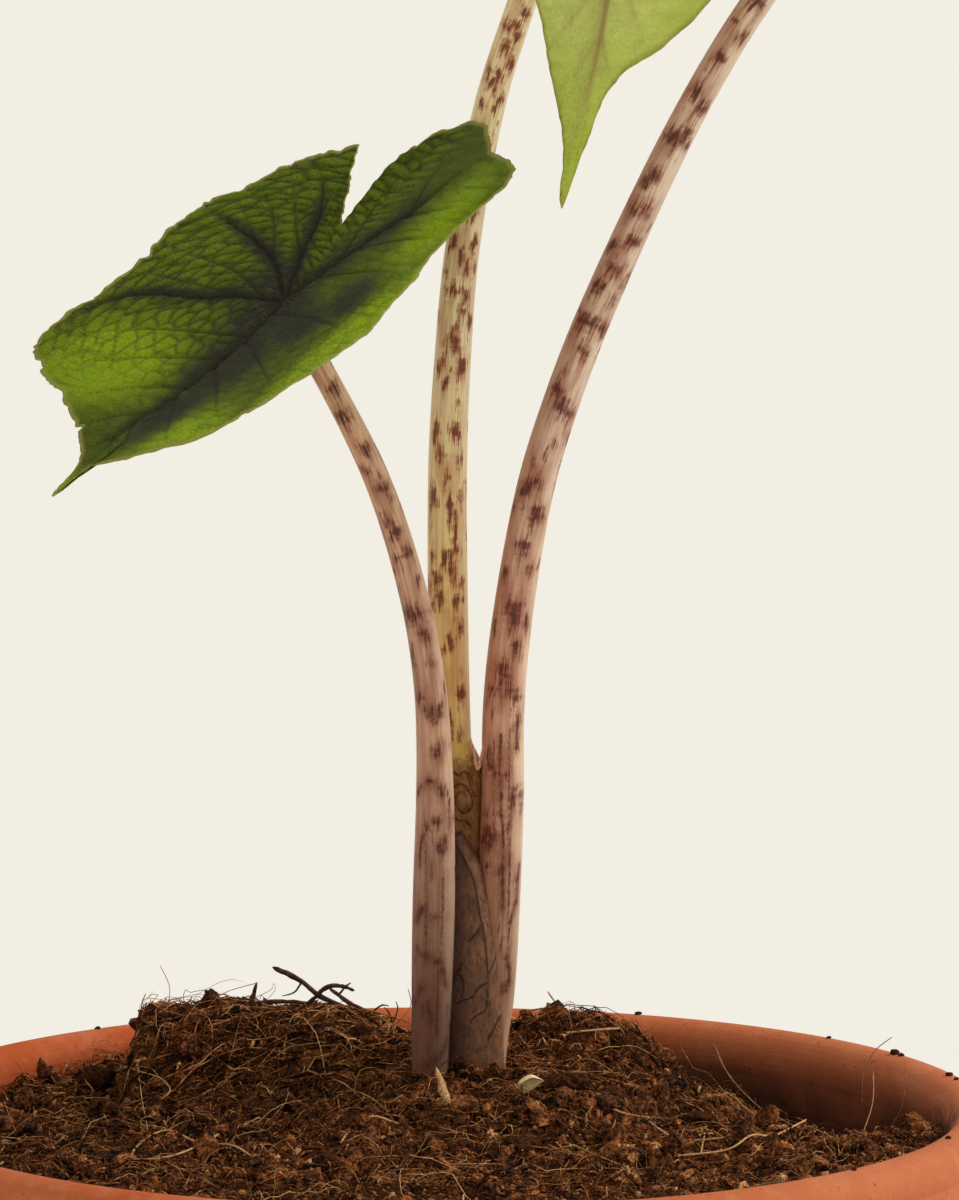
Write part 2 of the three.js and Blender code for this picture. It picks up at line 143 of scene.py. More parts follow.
def distance_to_line(places: Array, line: Array) -> tuple[Array, Array]:
    """The distance from each place to a line of points, and how far along the line that is.

    Args:
        places: N places, two numbers each.
        line: the line's points, two numbers each.

    Returns:
        The distances, and the shares of the line from 0 to 1.
    """
    best = np.full(len(places), np.inf)
    share = np.zeros(len(places))
    spans = len(line) - 1
    for index in range(spans):
        start, step = line[index], line[index + 1] - line[index]
        part = np.clip((places - start) @ step / max(step @ step, 1e-9), 0, 1)
        away = np.linalg.norm(places - start - part[:, None] * step, axis=1)
        nearer = away < best
        best[nearer] = away[nearer]
        share[nearer] = (index + part[nearer]) / spans
    return best, share


def unit(vectors: Array) -> Array:
    """The same directions with length 1."""
    return vectors / np.maximum(np.linalg.norm(vectors, axis=-1, keepdims=True), 1e-9)


class Route:
    """A smooth curve through control points, with further values blended between them."""

    def __init__(self, controls: Rows, size: int = 3) -> None:
        """Takes the controls; the first size numbers of each are its place."""
        table = np.array(controls, float)
        self.points = table[:, :size]
        self.extra = table[:, size:]

    def at(self, share: Array) -> Array:
        """Places on the curve.

        Args:
            share: how far along the controls each one lies, from 0 to 1.

        Returns:
            The places.
        """
        spans = len(self.points) - 1
        scaled = np.clip(share, 0, 1) * spans
        index = np.minimum(scaled.astype(int), spans - 1)
        part = (scaled - index)[:, None]
        first, last = self.points[0], self.points[-1]
        padded = np.vstack([2 * first - self.points[1], self.points, 2 * last - self.points[-2]])
        p0, p1, p2, p3 = (padded[index + offset] for offset in range(4))
        d0, d1, d2 = (
            np.sqrt(np.linalg.norm(b - a, axis=1, keepdims=True))
            for a, b in ((p0, p1), (p1, p2), (p2, p3))
        )
        out = ((p1 - p0) / d0 - (p2 - p0) / (d0 + d1) + (p2 - p1) / d1) * d1
        into = ((p2 - p1) / d1 - (p3 - p1) / (d1 + d2) + (p3 - p2) / d2) * d1
        square = -3 * p1 + 3 * p2 - 2 * out - into
        cube = 2 * p1 - 2 * p2 + out + into
        return p1 + out * part + square * part**2 + cube * part**3

    def values(self, share: Array) -> Array:
        """The further values at places on the curve."""
        scaled = np.clip(share, 0, 1) * (len(self.points) - 1)
        count = np.arange(len(self.points))
        return np.stack([np.interp(scaled, count, column) for column in self.extra.T], axis=1)

    def measured(self) -> tuple[Array, Array]:
        """Close shares of the curve, and how far along it each one lies, in millimetres."""
        fine = np.linspace(0, 1, 40 * len(self.points))
        steps = np.linalg.norm(np.diff(self.at(fine), axis=0), axis=1)
        return fine, np.concatenate([[0], np.cumsum(steps)])

    def even(self, count: int) -> Array:
        """Shares that lie evenly along the curve's length."""
        fine, reached = self.measured()
        return np.interp(np.linspace(0, reached[-1], count), reached, fine)

    def lengths(self, share: Array) -> Array:
        """How far along the curve each share lies, in millimetres."""
        return np.interp(share, *self.measured())


class Shading(Enum):
    """How the faces of a piece meet."""

    ROUNDED = "rounded"
    FACETED = "faceted"


@dataclass
class Shape:
    """Points in millimetres, with the values that a finish reads at each of them."""

    points: Array
    values: dict[str, Array] = field(default_factory=dict)


def read_points(mesh: Mesh) -> Array:
    """The mesh's points as an array of three columns."""
    flat = np.zeros(3 * len(mesh.vertices), np.float32)
    mesh.vertices.foreach_get("co", flat)
    return flat.reshape(-1, 3).astype(float)


def set_shape(mesh: Mesh, shape: Shape) -> None:
    """Moves the mesh's points to the shape's and stores its values as attributes."""
    mesh.vertices.foreach_set("co", (shape.points * MM).astype(np.float32).ravel())
    for name, values in shape.values.items():
        vector = values.ndim == 2
        layer = mesh.attributes.new(name, "FLOAT_VECTOR" if vector else "FLOAT", "POINT")
        layer.data.foreach_set("vector" if vector else "value", values.astype(np.float32).ravel())
    mesh.update()


def placed(name: str, data: bpy.types.ID) -> bpy.types.Object:
    """A new object in the scene with the given data."""
    made = bpy.data.objects.new(name, data)
    bpy.context.scene.collection.objects.link(made)
    return made


def finished(shell: Shell, name: str) -> Mesh:
    """The worked shell as a mesh of its own."""
    mesh = bpy.data.meshes.new(name)
    shell.to_mesh(mesh)
    shell.free()
    return mesh


def seal(shell: Shell) -> None:
    """Merges points that coincide and turns every face outwards."""
    bmesh.ops.remove_doubles(shell, verts=shell.verts, dist=WELD)
    bmesh.ops.recalc_face_normals(shell, faces=shell.faces)


def spun(section: Line, steps: int) -> Shell:
    """A section turned about the pot's axis.

    Args:
        section: its points as radius and height.
        steps: the faces round the axis.

    Returns:
        The closed shell.
    """
    shell = bmesh.new()
    corners = [shell.verts.new((r * MM, 0, z * MM)) for r, z in section]
    edges = [shell.edges.new(pair) for pair in zip(corners, corners[1:])]
    bmesh.ops.spin(
        shell, geom=corners + edges, cent=(0, 0, 0), axis=(0, 0, 1), dvec=(0, 0, 0),
        angle=TURN, steps=steps, use_merge=True, use_duplicate=False,
    )
    seal(shell)
    return shell


def ball(name: str, fine: int) -> tuple[Mesh, Array]:
    """A round ball, and the direction from its middle to each of its points."""
    shell = bmesh.new()
    bmesh.ops.create_icosphere(shell, subdivisions=fine, radius=1.0)
    mesh = finished(shell, name)
    return mesh, unit(read_points(mesh))


def stalk_sides(centre: Array) -> tuple[Array, Array]:
    """The directions to the right and to the front all along a stalk's middle line."""
    along = unit(np.gradient(centre, axis=0))
    side = unit(np.array([1.0, 0, 0]) - along * along[:, :1])
    return side, np.cross(along, side)


def tube_places(
    column: Array, row: Array, sides: int, rings: int
) -> tuple[Array, Array, Array]:
    """Where a tube's grid points belong; its first and its last row close the ends.

    Args:
        column, row: the grid's column and row numbers.
        sides, rings: the tube's faces round it, and its rings.

    Returns:
        Each point's ring, 1 where it lies on the wall and 0 at an end, and its angle.
    """
    ring = np.clip(row - 1, 0, rings - 1)
    wall = ((row > 0) & (row < rings + 1)).astype(float)
    return ring, wall, column % sides * TURN / sides


def bent_grid(
    name: str, columns: int, rows: int, place: Callable[[Array, Array], Shape]
) -> Mesh:
    """A grid bent into a closed shape, with its seam and its ends welded.

    Args:
        name: the mesh's name.
        columns, rows: the grid's faces each way.
        place: gives the shape for the grid's column numbers and row numbers.

    Returns:
        The mesh.
    """
    grid = bmesh.new()
    bmesh.ops.create_grid(grid, x_segments=columns, y_segments=rows, size=0.5)
    mesh = finished(grid, name)
    flat = read_points(mesh) + 0.5
    column = np.rint(flat[:, 0] * columns).astype(int)
    row = np.rint(flat[:, 1] * rows).astype(int)
    set_shape(mesh, place(column, row))
    shell = bmesh.new()
    shell.from_mesh(mesh)
    seal(shell)
    shell.to_mesh(mesh)
    shell.free()
    return mesh


def joined(name: str, meshes: Sequence[Mesh]) -> Mesh:
    """One mesh that holds all the given ones."""
    whole = bmesh.new()
    for mesh in meshes:
        whole.from_mesh(mesh)
    return finished(whole, name)


def copies(name: str, template: Mesh, count: int) -> Mesh:
    """One mesh with many copies of another, one after the other, all in its place.

    Args:
        name: the mesh's name.
        template: the mesh to copy.
        count: how many copies there are.

    Returns:
        The mesh.
    """
    holder = placed(name, template)
    array = holder.modifiers.new("Copies", "ARRAY")
    array.count = count
    array.use_relative_offset = False
    graph = bpy.context.evaluated_depsgraph_get()
    result = bpy.data.meshes.new_from_object(holder.evaluated_get(graph))
    result.name = name
    bpy.data.objects.remove(holder)
    return result


def strands(name: str, paths: Array, radii: Array, tones: Array) -> Mesh:
    """Many thin fibres with pointed ends, each along its own path.

    Args:
        name: the mesh's name.
        paths: for each fibre, its points in millimetres.
        radii: each fibre's radius in millimetres.
        tones: each fibre's place on its finish's colour scale.

    Returns:
        One mesh of all the fibres, with their tone.
    """
    count, joints = paths.shape[:2]

    def place(column: Array, row: Array) -> Shape:
        """A straight prism of three sides that is closed to a point at both ends."""
        angle = column * TURN / 3
        full = ((row > 0) & (row < joints - 1)).astype(float)
        return Shape(np.stack([full * np.cos(angle), full * np.sin(angle), row / MM], axis=1))

    template = bent_grid(name + "_template", 3, joints - 1, place)
    local = read_points(template) / MM
    ring = np.rint(local[:, 2] * MM).astype(int)
    mesh = copies(name, template, count)
    along = unit(np.gradient(paths, axis=1))
    steady = unit(np.random.default_rng(count).normal(size=(count, 1, 3)))
    side = unit(np.cross(along, np.broadcast_to(steady, along.shape)))
    other = np.cross(along, side)
    taper = np.interp(np.arange(joints) / (joints - 1), [0, 0.3, 0.7, 1], [0.75, 1, 0.9, 0.6])
    width = radii[:, None, None] * taper[ring][None, :, None]
    points = paths[:, ring] + width * (
        local[None, :, :1] * side[:, ring] + local[None, :, 1:2] * other[:, ring]
    )
    set_shape(mesh, Shape(points.reshape(-1, 3), {"tone": np.repeat(tones, len(local))}))
    return mesh


def rod(
    name: str, controls: Rows, sides: int, rings: int, rough: float = 0.0
) -> Mesh:
    """A round rod along controls of [x, y, z, radius], with rounded ends.

    Args:
        name: the mesh's name.
        controls: the control points.
        sides, rings: the faces round it and along it.
        rough: how uneven its surface is, as a share of its radius.

    Returns:
        The mesh, with its tone varied a little along it.
    """
    route = Route(controls)
    share = route.even(rings + 1)
    centre = route.at(share)
    radius = route.values(share)[:, 0]
    along = unit(np.gradient(centre, axis=0))
    side = unit(np.cross(along, np.array([0.21, 0.93, 0.3])))
    other = np.cross(along, side)
    end = np.minimum(np.arange(rings + 1), np.arange(rings + 1)[::-1])
    radius = radius * np.interp(end, [0, 1, 2], [0, 0.75, 1])

    def place(column: Array, row: Array) -> Shape:
        """The rod's surface."""
        angle = column % sides * TURN / sides
        uneven = 1 + rough * ripple(column % sides * 1.7, row * 1.0, 1.9, len(name))
        out = np.cos(angle)[:, None] * side[row] + np.sin(angle)[:, None] * other[row]
        tone = 0.5 + 0.5 * ripple(row * 1.0, row * 0.0, 3, len(name))
        return Shape(centre[row] + out * (radius[row] * uneven)[:, None], {"tone": tone})

    return bent_grid(name, sides, rings, place)


class Graph:
    """A material and its nodes, with a short method for each kind that the finishes use."""

    def __init__(self, name: str) -> None:
        """Starts an empty material."""
        self.material = bpy.data.materials.new(name)
        self.material.use_nodes = True
        self.tree = self.material.node_tree
        self.tree.nodes.clear()
        self.end = self.tree.nodes.new("ShaderNodeOutputMaterial")

    def node(self, kind: str, inputs: dict, **settings) -> bpy.types.Node:
        """A node with its settings, and its inputs linked or given a value."""
        made = self.tree.nodes.new(kind)
        for name, value in settings.items():
            setattr(made, name, value)
        for key, value in inputs.items():
            if isinstance(value, Socket):
                self.tree.links.new(value, made.inputs[key])
            else:
                made.inputs[key].default_value = value
        return made

    def place(self, scale: Sequence[float] = (1, 1, 1)) -> Socket:
        """Object coordinates in millimetres, stretched by scale."""
        coordinates = self.node("ShaderNodeTexCoord", {}).outputs["Object"]
        return self.stretch(coordinates, [1000 * part for part in scale])

    def stretch(self, vector: Socket, scale: Sequence[float]) -> Socket:
        """A vector scaled along its own axes."""
        inputs = {"Vector": vector, "Scale": tuple(scale)}
        return self.node("ShaderNodeMapping", inputs).outputs["Vector"]

    def painted(self, name: str) -> Socket:
        """A number stored on the mesh."""
        return self.node("ShaderNodeAttribute", {}, attribute_name=name).outputs["Fac"]

    def painted_vector(self, name: str) -> Socket:
        """A vector stored on the mesh."""
        return self.node("ShaderNodeAttribute", {}, attribute_name=name).outputs["Vector"]

    def part(self, vector: Socket, axis: str) -> Socket:
        """One of a vector's three numbers."""
        return self.node("ShaderNodeSeparateXYZ", {"Vector": vector}).outputs[axis]

    def height(self) -> Socket:
        """The height above the floor in millimetres."""
        return self.part(self.place(), "Z")

    def noise(self, vector: Socket, scale: float, detail: float = 2, warp: float = 0) -> Socket:
        """Cloudy noise from 0 to 1."""
        inputs = {"Vector": vector, "Scale": scale, "Detail": detail, "Distortion": warp}
        return self.node("ShaderNodeTexNoise", inputs).outputs["Fac"]

    def cells(self, vector: Socket, scale: float, feature: str = "F1") -> Socket:
        """The distance inside an irregular honeycomb, to its points or to its walls."""
        inputs = {"Vector": vector, "Scale": scale}
        made = self.node("ShaderNodeTexVoronoi", inputs, feature=feature)
        return made.outputs["Distance"]

    def level(self, value: Socket, start: float, end: float) -> Socket:
        """A smooth step from 0 to 1."""
        inputs = {"Value": value, "From Min": start, "From Max": end}
        made = self.node("ShaderNodeMapRange", inputs, interpolation_type="SMOOTHSTEP")
        return made.outputs["Result"]

    def maths(self, operation: str, first: Number, second: Number = 0.0) -> Socket:
        """One step of arithmetic."""
        return self.node("ShaderNodeMath", {0: first, 1: second}, operation=operation).outputs[0]

    def times(self, first: Number, second: Number) -> Socket:
        """One number times the other."""
        return self.maths("MULTIPLY", first, second)

    def plus(self, first: Number, second: Number) -> Socket:
        """One number and the other."""
        return self.maths("ADD", first, second)

    def minus(self, first: Number, second: Number) -> Socket:
        """One number less the other."""
        return self.maths("SUBTRACT", first, second)

    def both_ways(self, noise: Socket, strength: float) -> Socket:
        """A noise moved to lie round 0 and made as strong as asked."""
        return self.times(self.minus(noise, 0.5), strength)

    def ramp(self, value: Socket, stops: Sequence[tuple[float, Colour]]) -> Socket:
        """A colour from a scale of colours."""
        made = self.node("ShaderNodeValToRGB", {"Fac": value})
        elements = made.color_ramp.elements
        while len(elements) < len(stops):
            elements.new(1.0)
        for element, (position, colour) in zip(elements, stops):
            element.position = position
            element.color = colour
        return made.outputs["Color"]

    def mix(self, share: Number, first: Paint, second: Paint) -> Socket:
        """Two colours mixed: the first where share is 0, the second where it is 1."""
        inputs = {0: share, 6: first, 7: second}
        return self.node("ShaderNodeMix", inputs, data_type="RGBA").outputs[2]

    def over(
        self, below: Paint, above: Paint, cover: Socket, strength: Number
    ) -> Socket:
        """A colour laid over another where the cover is 1, as strongly as asked."""
        return self.mix(self.times(cover, strength), below, above)

    def layers(self, colour: Paint, rows: Sequence[tuple[Paint, Socket, Number]]) -> Socket:
        """Colours laid one over the other, each with its cover and its strength."""
        for above, cover, strength in rows:
            colour = self.over(colour, above, cover, strength)
        return colour

    def bump(self, value: Socket, depth: float, below: Socket | None = None) -> Socket:
        """A relief of the given depth in millimetres, on top of another one."""
        inputs = {"Height": value, "Strength": 1.0, "Distance": depth * MM}
        if below is not None:
            inputs["Normal"] = below
        return self.node("ShaderNodeBump", inputs).outputs["Normal"]

    def surface(
        self, colour: Paint, roughness: Number, normal: Socket | None = None, **fixed
    ) -> Socket:
        """The main surface shader; fixed holds values set on its own sockets."""
        inputs = {"Base Color": colour, "Roughness": roughness}
        if normal is not None:
            inputs["Normal"] = normal
        inputs.update({name.replace("_", " "): value for name, value in fixed.items()})
        return self.node("ShaderNodeBsdfPrincipled", inputs).outputs["BSDF"]

    def done(self, shader: Socket) -> Material:
        """Joins the shader to the output and hands the material over."""
        self.tree.links.new(shader, self.end.inputs["Surface"])
        return self.material


@dataclass(frozen=True)
class TerracottaFinish:
    """Fired clay: mottled orange-brown with pale bloom and dirt; painted shade darkens the inner right
    wall, which is also a little damp, and a painted highlight pales the right side.
    """

    clay: Colour = tint(186, 86, 40)
    pale: Colour = tint(216, 140, 98)
    deep: Colour = tint(170, 74, 32)
    # Painted shade for the inner right wall, with a little damp.
    shade_and_damp: Colour = tint(46, 15, 7)
    dirt: Colour = tint(78, 44, 28)

    def material(self) -> Material:
        """Returns the material."""
        g = Graph("terracotta")
        place = g.place()
        clouds = g.noise(place, 0.05, 5, 0.6)
        mottle = g.noise(place, 0.35, 4)
        grain = g.noise(place, 3.5, 3)
        turned = g.noise(g.stretch(place, (0.02, 0.02, 1.1)), 1.0, 3)
        across = g.part(place, "X")
        colour = g.ramp(clouds, [(0.2, self.deep), (0.5, self.clay), (1.0, self.pale)])
        colour = g.layers(colour, [
            (self.pale, g.level(mottle, 0.45, 0.7), 0.25),
            (self.deep, g.level(turned, 0.5, 0.75), 0.3),
            # Painted highlight: the pot paler towards its right, the side the key light falls on.
            (self.pale, g.level(across, -70, 90), 0.45),
        ])
        # Painted shade: darkens the inner right wall where the painted-shade attribute says, and lowers
        # its roughness a little as damp.
        cover = g.plus(g.times(g.level(clouds, 0.25, 0.6), 0.4), 0.75)
        shade_and_wet = g.maths("MINIMUM", g.times(g.painted("shade_and_damp"), cover), 1.0)
        colour = g.over(colour, self.shade_and_damp, shade_and_wet, 0.95)
        specks = g.level(g.noise(place, 1.3, 3), 0.66, 0.72)
        colour = g.over(colour, self.dirt, specks, 0.55)
        low = g.level(g.painted("soil_line"), 0.15, 0.9)
        smear = g.times(low, g.level(g.noise(place, 0.4, 4), 0.35, 0.6))
        colour = g.over(colour, self.dirt, smear, 0.8)
        normal = g.bump(turned, 0.12)
        normal = g.bump(grain, 0.12, normal)
        pits = g.level(g.cells(place, 0.9), 0.0, 0.16)
        normal = g.bump(pits, 0.12, normal)
        dry = g.node("ShaderNodeMapRange", {"Value": mottle, "To Min": 0.7, "To Max": 0.9})
        roughness = g.minus(dry.outputs["Result"], g.times(shade_and_wet, 0.28))
        return g.done(g.surface(colour, roughness, normal, Specular_IOR_Level=0.14))


@dataclass(frozen=True)
class EarthFinish:
    """Peat and coir: near black where it is deep, with brown and tan fibres and crumbs."""

    black: Colour = tint(22, 12, 7)
    brown: Colour = tint(108, 63, 34)
    rust: Colour = tint(192, 118, 66)
    tan: Colour = tint(236, 188, 128)

    def bed(self) -> Material:
        """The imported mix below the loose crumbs."""
        g = Graph("mix_bed")
        place = g.place()
        fine = g.noise(place, 1.1, 5)
        colour = g.ramp(fine, [(0.35, self.black), (0.58, self.brown), (0.8, self.rust)])
        normal = g.bump(g.noise(place, 2.6, 4), 0.9)
        return g.done(g.surface(colour, 1.0, normal, Specular_IOR_Level=0.05))

    def loose(self, name: str) -> Material:
        """Crumbs and fibres, each as dark or light as its tone says."""
        g = Graph(name)
        place = g.place()
        varied = g.minus(g.noise(place, 2.4, 5), 0.5)
        patches = g.minus(g.noise(place, 0.32, 3), 0.5)
        tone = g.plus(g.painted("tone"), g.times(patches, 1.3))
        tone = g.plus(tone, g.times(varied, 1.5))
        colour = g.ramp(
            tone, [(0.0, self.black), (0.35, self.brown), (0.7, self.rust), (1.0, self.tan)]
        )
        normal = g.bump(g.noise(place, 3.2, 5), 0.5)
        return g.done(g.surface(colour, 0.95, normal, Specular_IOR_Level=0.1))


@dataclass(frozen=True)
class TonedFinish:
    """A plain dry thing: one colour in its hollows and another on its high places."""

    name: str
    low: Colour
    high: Colour
    roughness: float = 0.8
    relief: float = 0.15
    scale: float = 2.5
    gloss: float = 0.3

    def material(self) -> Material:
        """Returns the material."""
        g = Graph(self.name)
        place = g.place()
        varied = g.noise(place, self.scale, 4, 0.4)
        colour = g.ramp(varied, [(0.32, self.low), (0.68, self.high)])
        normal = g.bump(varied, self.relief)
        return g.done(g.surface(colour, self.roughness, normal, Specular_IOR_Level=self.gloss))


@dataclass(frozen=True)
class PetioleFinish:
    """A ribbed leaf stalk with dark blotches that break up into fine lengthwise dashes."""

    name: str
    foot: Colour
    middle: Colour
    top: Colour
    blotch: Colour
    halo: Colour
    foot_height: float = 150
    middle_height: float = 190
    top_height: float = 250
    comb: float = 1.6
    stain: float = 0.45
    painted_side_shade: float = 0.3
    painted_side_light: float = 0.6

    def material(self) -> Material:
        """Returns the material."""
        g = Graph(self.name)
        grain = g.painted_vector("grain")
        height = g.height()
        fine = g.noise(g.stretch(grain, (1, 1, 0.07)), 5.5, 3)
        broad = g.noise(g.stretch(grain, (1, 1, 0.02)), 2.4, 3, 0.3)
        cloud = g.noise(g.stretch(grain, (1, 1, 0.3)), 0.5, 2)
        speck = g.noise(g.stretch(grain, (1, 1, 0.45)), 4.2, 2)
        lower = g.mix(g.level(height, self.foot_height, self.middle_height), self.foot, self.middle)
        colour = g.mix(g.level(height, self.middle_height, self.top_height), lower, self.top)
        halo = g.mix(g.level(height, 145, 185), self.blotch, self.halo)
        paler = g.plus(g.times(g.level(height, 140, 195), 0.35), 0.15)
        light = g.mix(paler, colour, tint(250, 232, 206))
        dark = g.mix(0.75, colour, self.halo)
        pale = g.plus(g.level(fine, 0.5, 0.7), g.level(broad, 0.5, 0.62))
        patchy = g.plus(g.times(g.level(cloud, 0.35, 0.6), 0.35), 0.25)
        colour = g.layers(colour, [
            (light, g.level(pale, 0.2, 1.7), patchy),
            (dark, g.level(broad, 0.5, 0.38), 0.45),
            (dark, g.level(cloud, 0.45, 0.65), 0.5),
        ])
        around = g.part(grain, "X")
        # Painted shade on the stalk's left side and painted light on its right side.
        colour = g.layers(colour, [
            (dark, g.level(around, 1.2, -2.6), self.painted_side_shade),
            (light, g.level(around, 0.4, 2.5), self.painted_side_light),
        ])
        stain = g.times(g.painted("flush"), g.level(cloud, 0.3, 0.6))
        colour = g.over(colour, halo, stain, self.stain)
        smudge = g.times(g.painted("smudge"), g.level(speck, 0.25, 0.7))
        colour = g.over(colour, self.blotch, smudge, 0.56)
        streaks = g.both_ways(fine, self.comb)
        breaks = g.both_ways(speck, 0.6)
        rows = g.noise(g.stretch(grain, (0.35, 0.35, 1.0)), 1.2, 2)
        banded = g.both_ways(rows, 0.8)
        painted = g.painted("mark")
        held = g.plus(g.times(g.level(painted, 0.0, 0.3), 0.75), 0.25)
        uneven = g.plus(banded, g.plus(streaks, breaks))
        mark = g.plus(painted, g.times(uneven, held))
        colour = g.layers(colour, [
            (halo, g.level(mark, 0.08, 0.54), 0.66),
            (self.blotch, g.level(mark, 0.36, 0.9), 0.88),
        ])
        normal = g.bump(broad, 0.22, g.bump(fine, 0.06))
        shader = g.surface(
            colour, 0.52, normal, Specular_IOR_Level=0.35, Subsurface_Weight=0.12,
            Subsurface_Radius=(0.0012, 0.0006, 0.0003),
        )
        return g.done(shader)


@dataclass(frozen=True)
class SheathFinish:
    """A papery sheath with fine lengthwise grain and a few dark raised veins."""

    name: str
    low: Colour
    high: Colour
    vein: Colour
    edge: Colour
    tip: Colour
    fade: tuple[float, float] = (200, 201)
    vein_strength: float = 0.75

    def material(self) -> Material:
        """Returns the material."""
        g = Graph(self.name)
        place = g.place()
        fine = g.noise(g.stretch(place, (1, 1, 0.12)), 4.5, 4)
        cloud = g.noise(place, 0.45, 3, 0.5)
        colour = g.ramp(cloud, [(0.3, self.low), (0.7, self.high)])
        colour = g.over(colour, self.edge, g.level(fine, 0.5, 0.75), 0.45)
        wander = g.both_ways(fine, 0.25)
        vein = g.level(g.plus(g.painted("vein"), wander), 0.15, 0.8)
        mottle = g.level(g.noise(g.stretch(place, (1, 1, 0.5)), 1.8, 5, 0.8), 0.48, 0.72)
        colour = g.over(colour, self.vein, mottle, 0.5)
        uneven = g.both_ways(g.noise(place, 0.9, 3), 5.0)
        colour = g.mix(g.level(g.plus(g.height(), uneven), *self.fade), colour, self.tip)
        colour = g.layers(colour, [
            # Painted shade from the fold attribute, laid in the vein colour.
            (self.vein, g.painted("fold"), 0.8),
            (self.vein, vein, self.vein_strength),
        ])
        specks = g.level(g.noise(place, 3.1, 1), 0.74, 0.78)
        colour = g.over(colour, self.edge, specks, 0.4)
        normal = g.bump(mottle, 0.1, g.bump(fine, 0.16))
        normal = g.bump(vein, 0.18, normal)
        return g.done(g.surface(colour, 0.6, normal, Specular_IOR_Level=0.3))


@dataclass(frozen=True)
class BladeFinish:
    """A leaf blade: quilted green between dark veins, dusky round its joint, paler beneath."""

    name: str
    green: Colour
    bright: Colour
    dusk: Colour
    vein: Colour
    net: Colour
    beneath: Colour
    glow: float = 0.28
    net_strength: float = 0.7
    roughness: float = 0.58

    def material(self) -> Material:
        """Returns the material."""
        g = Graph(self.name)
        flat = g.painted_vector("flat")
        cloud = g.noise(flat, 0.16, 4, 0.5)
        small = g.noise(flat, 1.4, 3)
        bands = g.noise(g.stretch(flat, (0.16, 1, 1)), 0.75, 2, 0.4)
        mesh = g.cells(flat, 1.25, "DISTANCE_TO_EDGE")
        fine_lines = g.minus(1.0, g.level(mesh, 0.0, 0.11))
        # Paler patches: partly real paler green, partly painted light where the blade is lit through from
        # behind.
        bright = g.plus(g.painted("bright"), g.times(cloud, 0.3))
        colour = g.mix(g.level(bright, 0.15, 0.95), self.green, self.bright)
        lift = g.times(g.level(g.painted("pillow"), 0.2, 0.9), 0.4)
        colour = g.mix(lift, colour, g.mix(0.5, colour, self.bright))
        colour = g.layers(colour, [
            (self.net, fine_lines, 0.2),
            (self.net, g.level(small, 0.45, 0.8), 0.2),
            (self.net, g.level(bands, 0.5, 0.7), 0.35),
        ])
        net = g.times(g.painted("net"), self.net_strength)
        colour = g.mix(net, colour, self.net)
        uneven = g.both_ways(cloud, 0.6)
        dusk = g.level(g.plus(g.painted("dusk"), uneven), 0.2, 0.85)
        colour = g.layers(colour, [
            (self.dusk, dusk, 0.9),
            (self.vein, g.painted("vein"), 0.85),
        ])
        under = g.over(self.beneath, self.vein, g.painted("vein"), 0.7)
        under = g.over(under, self.net, net, 0.6)
        colour = g.mix(g.painted("top"), under, colour)
        # A pale margin line, partly painted light: the glow of the thin edge lit from behind.
        margin = g.level(g.painted("reach"), 0.972, 0.996)
        colour = g.over(colour, tint(190, 184, 98), margin, 0.75)
        normal = g.bump(small, 0.05)
        normal = g.bump(g.level(mesh, 0.0, 0.3), 0.14, normal)
        leaf = g.surface(colour, self.roughness, normal, Specular_IOR_Level=0.16)
        warm = g.mix(0.35, colour, self.bright)
        through = g.node("ShaderNodeBsdfTranslucent", {"Color": warm}).outputs["BSDF"]
        both = g.node("ShaderNodeMixShader", {0: self.glow, 1: leaf, 2: through})
        return g.done(both.outputs["Shader"])


def add_piece(
    name: str, mesh: Mesh, material: Material,
    replaces: Sequence[str] = (), shading: Shading = Shading.ROUNDED,
) -> bpy.types.Object:
    """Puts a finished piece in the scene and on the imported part.

    Args:
        name: the piece's name.
        mesh: its mesh, already in place.
        material: its finish.
        replaces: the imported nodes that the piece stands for.
        shading: how its faces meet.

    Returns:
        The piece.
    """
    piece = placed(name, mesh)
    mesh.materials.clear()
    mesh.materials.append(material)
    if shading is Shading.FACETED:
        mesh.shade_flat()
    else:
        mesh.shade_smooth()
    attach(piece, BODY)
    if replaces:
        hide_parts(*replaces)
    mesh.calc_loop_triangles()
    LOG.info("%s: %d triangles", name, len(mesh.loop_triangles))
    return piece


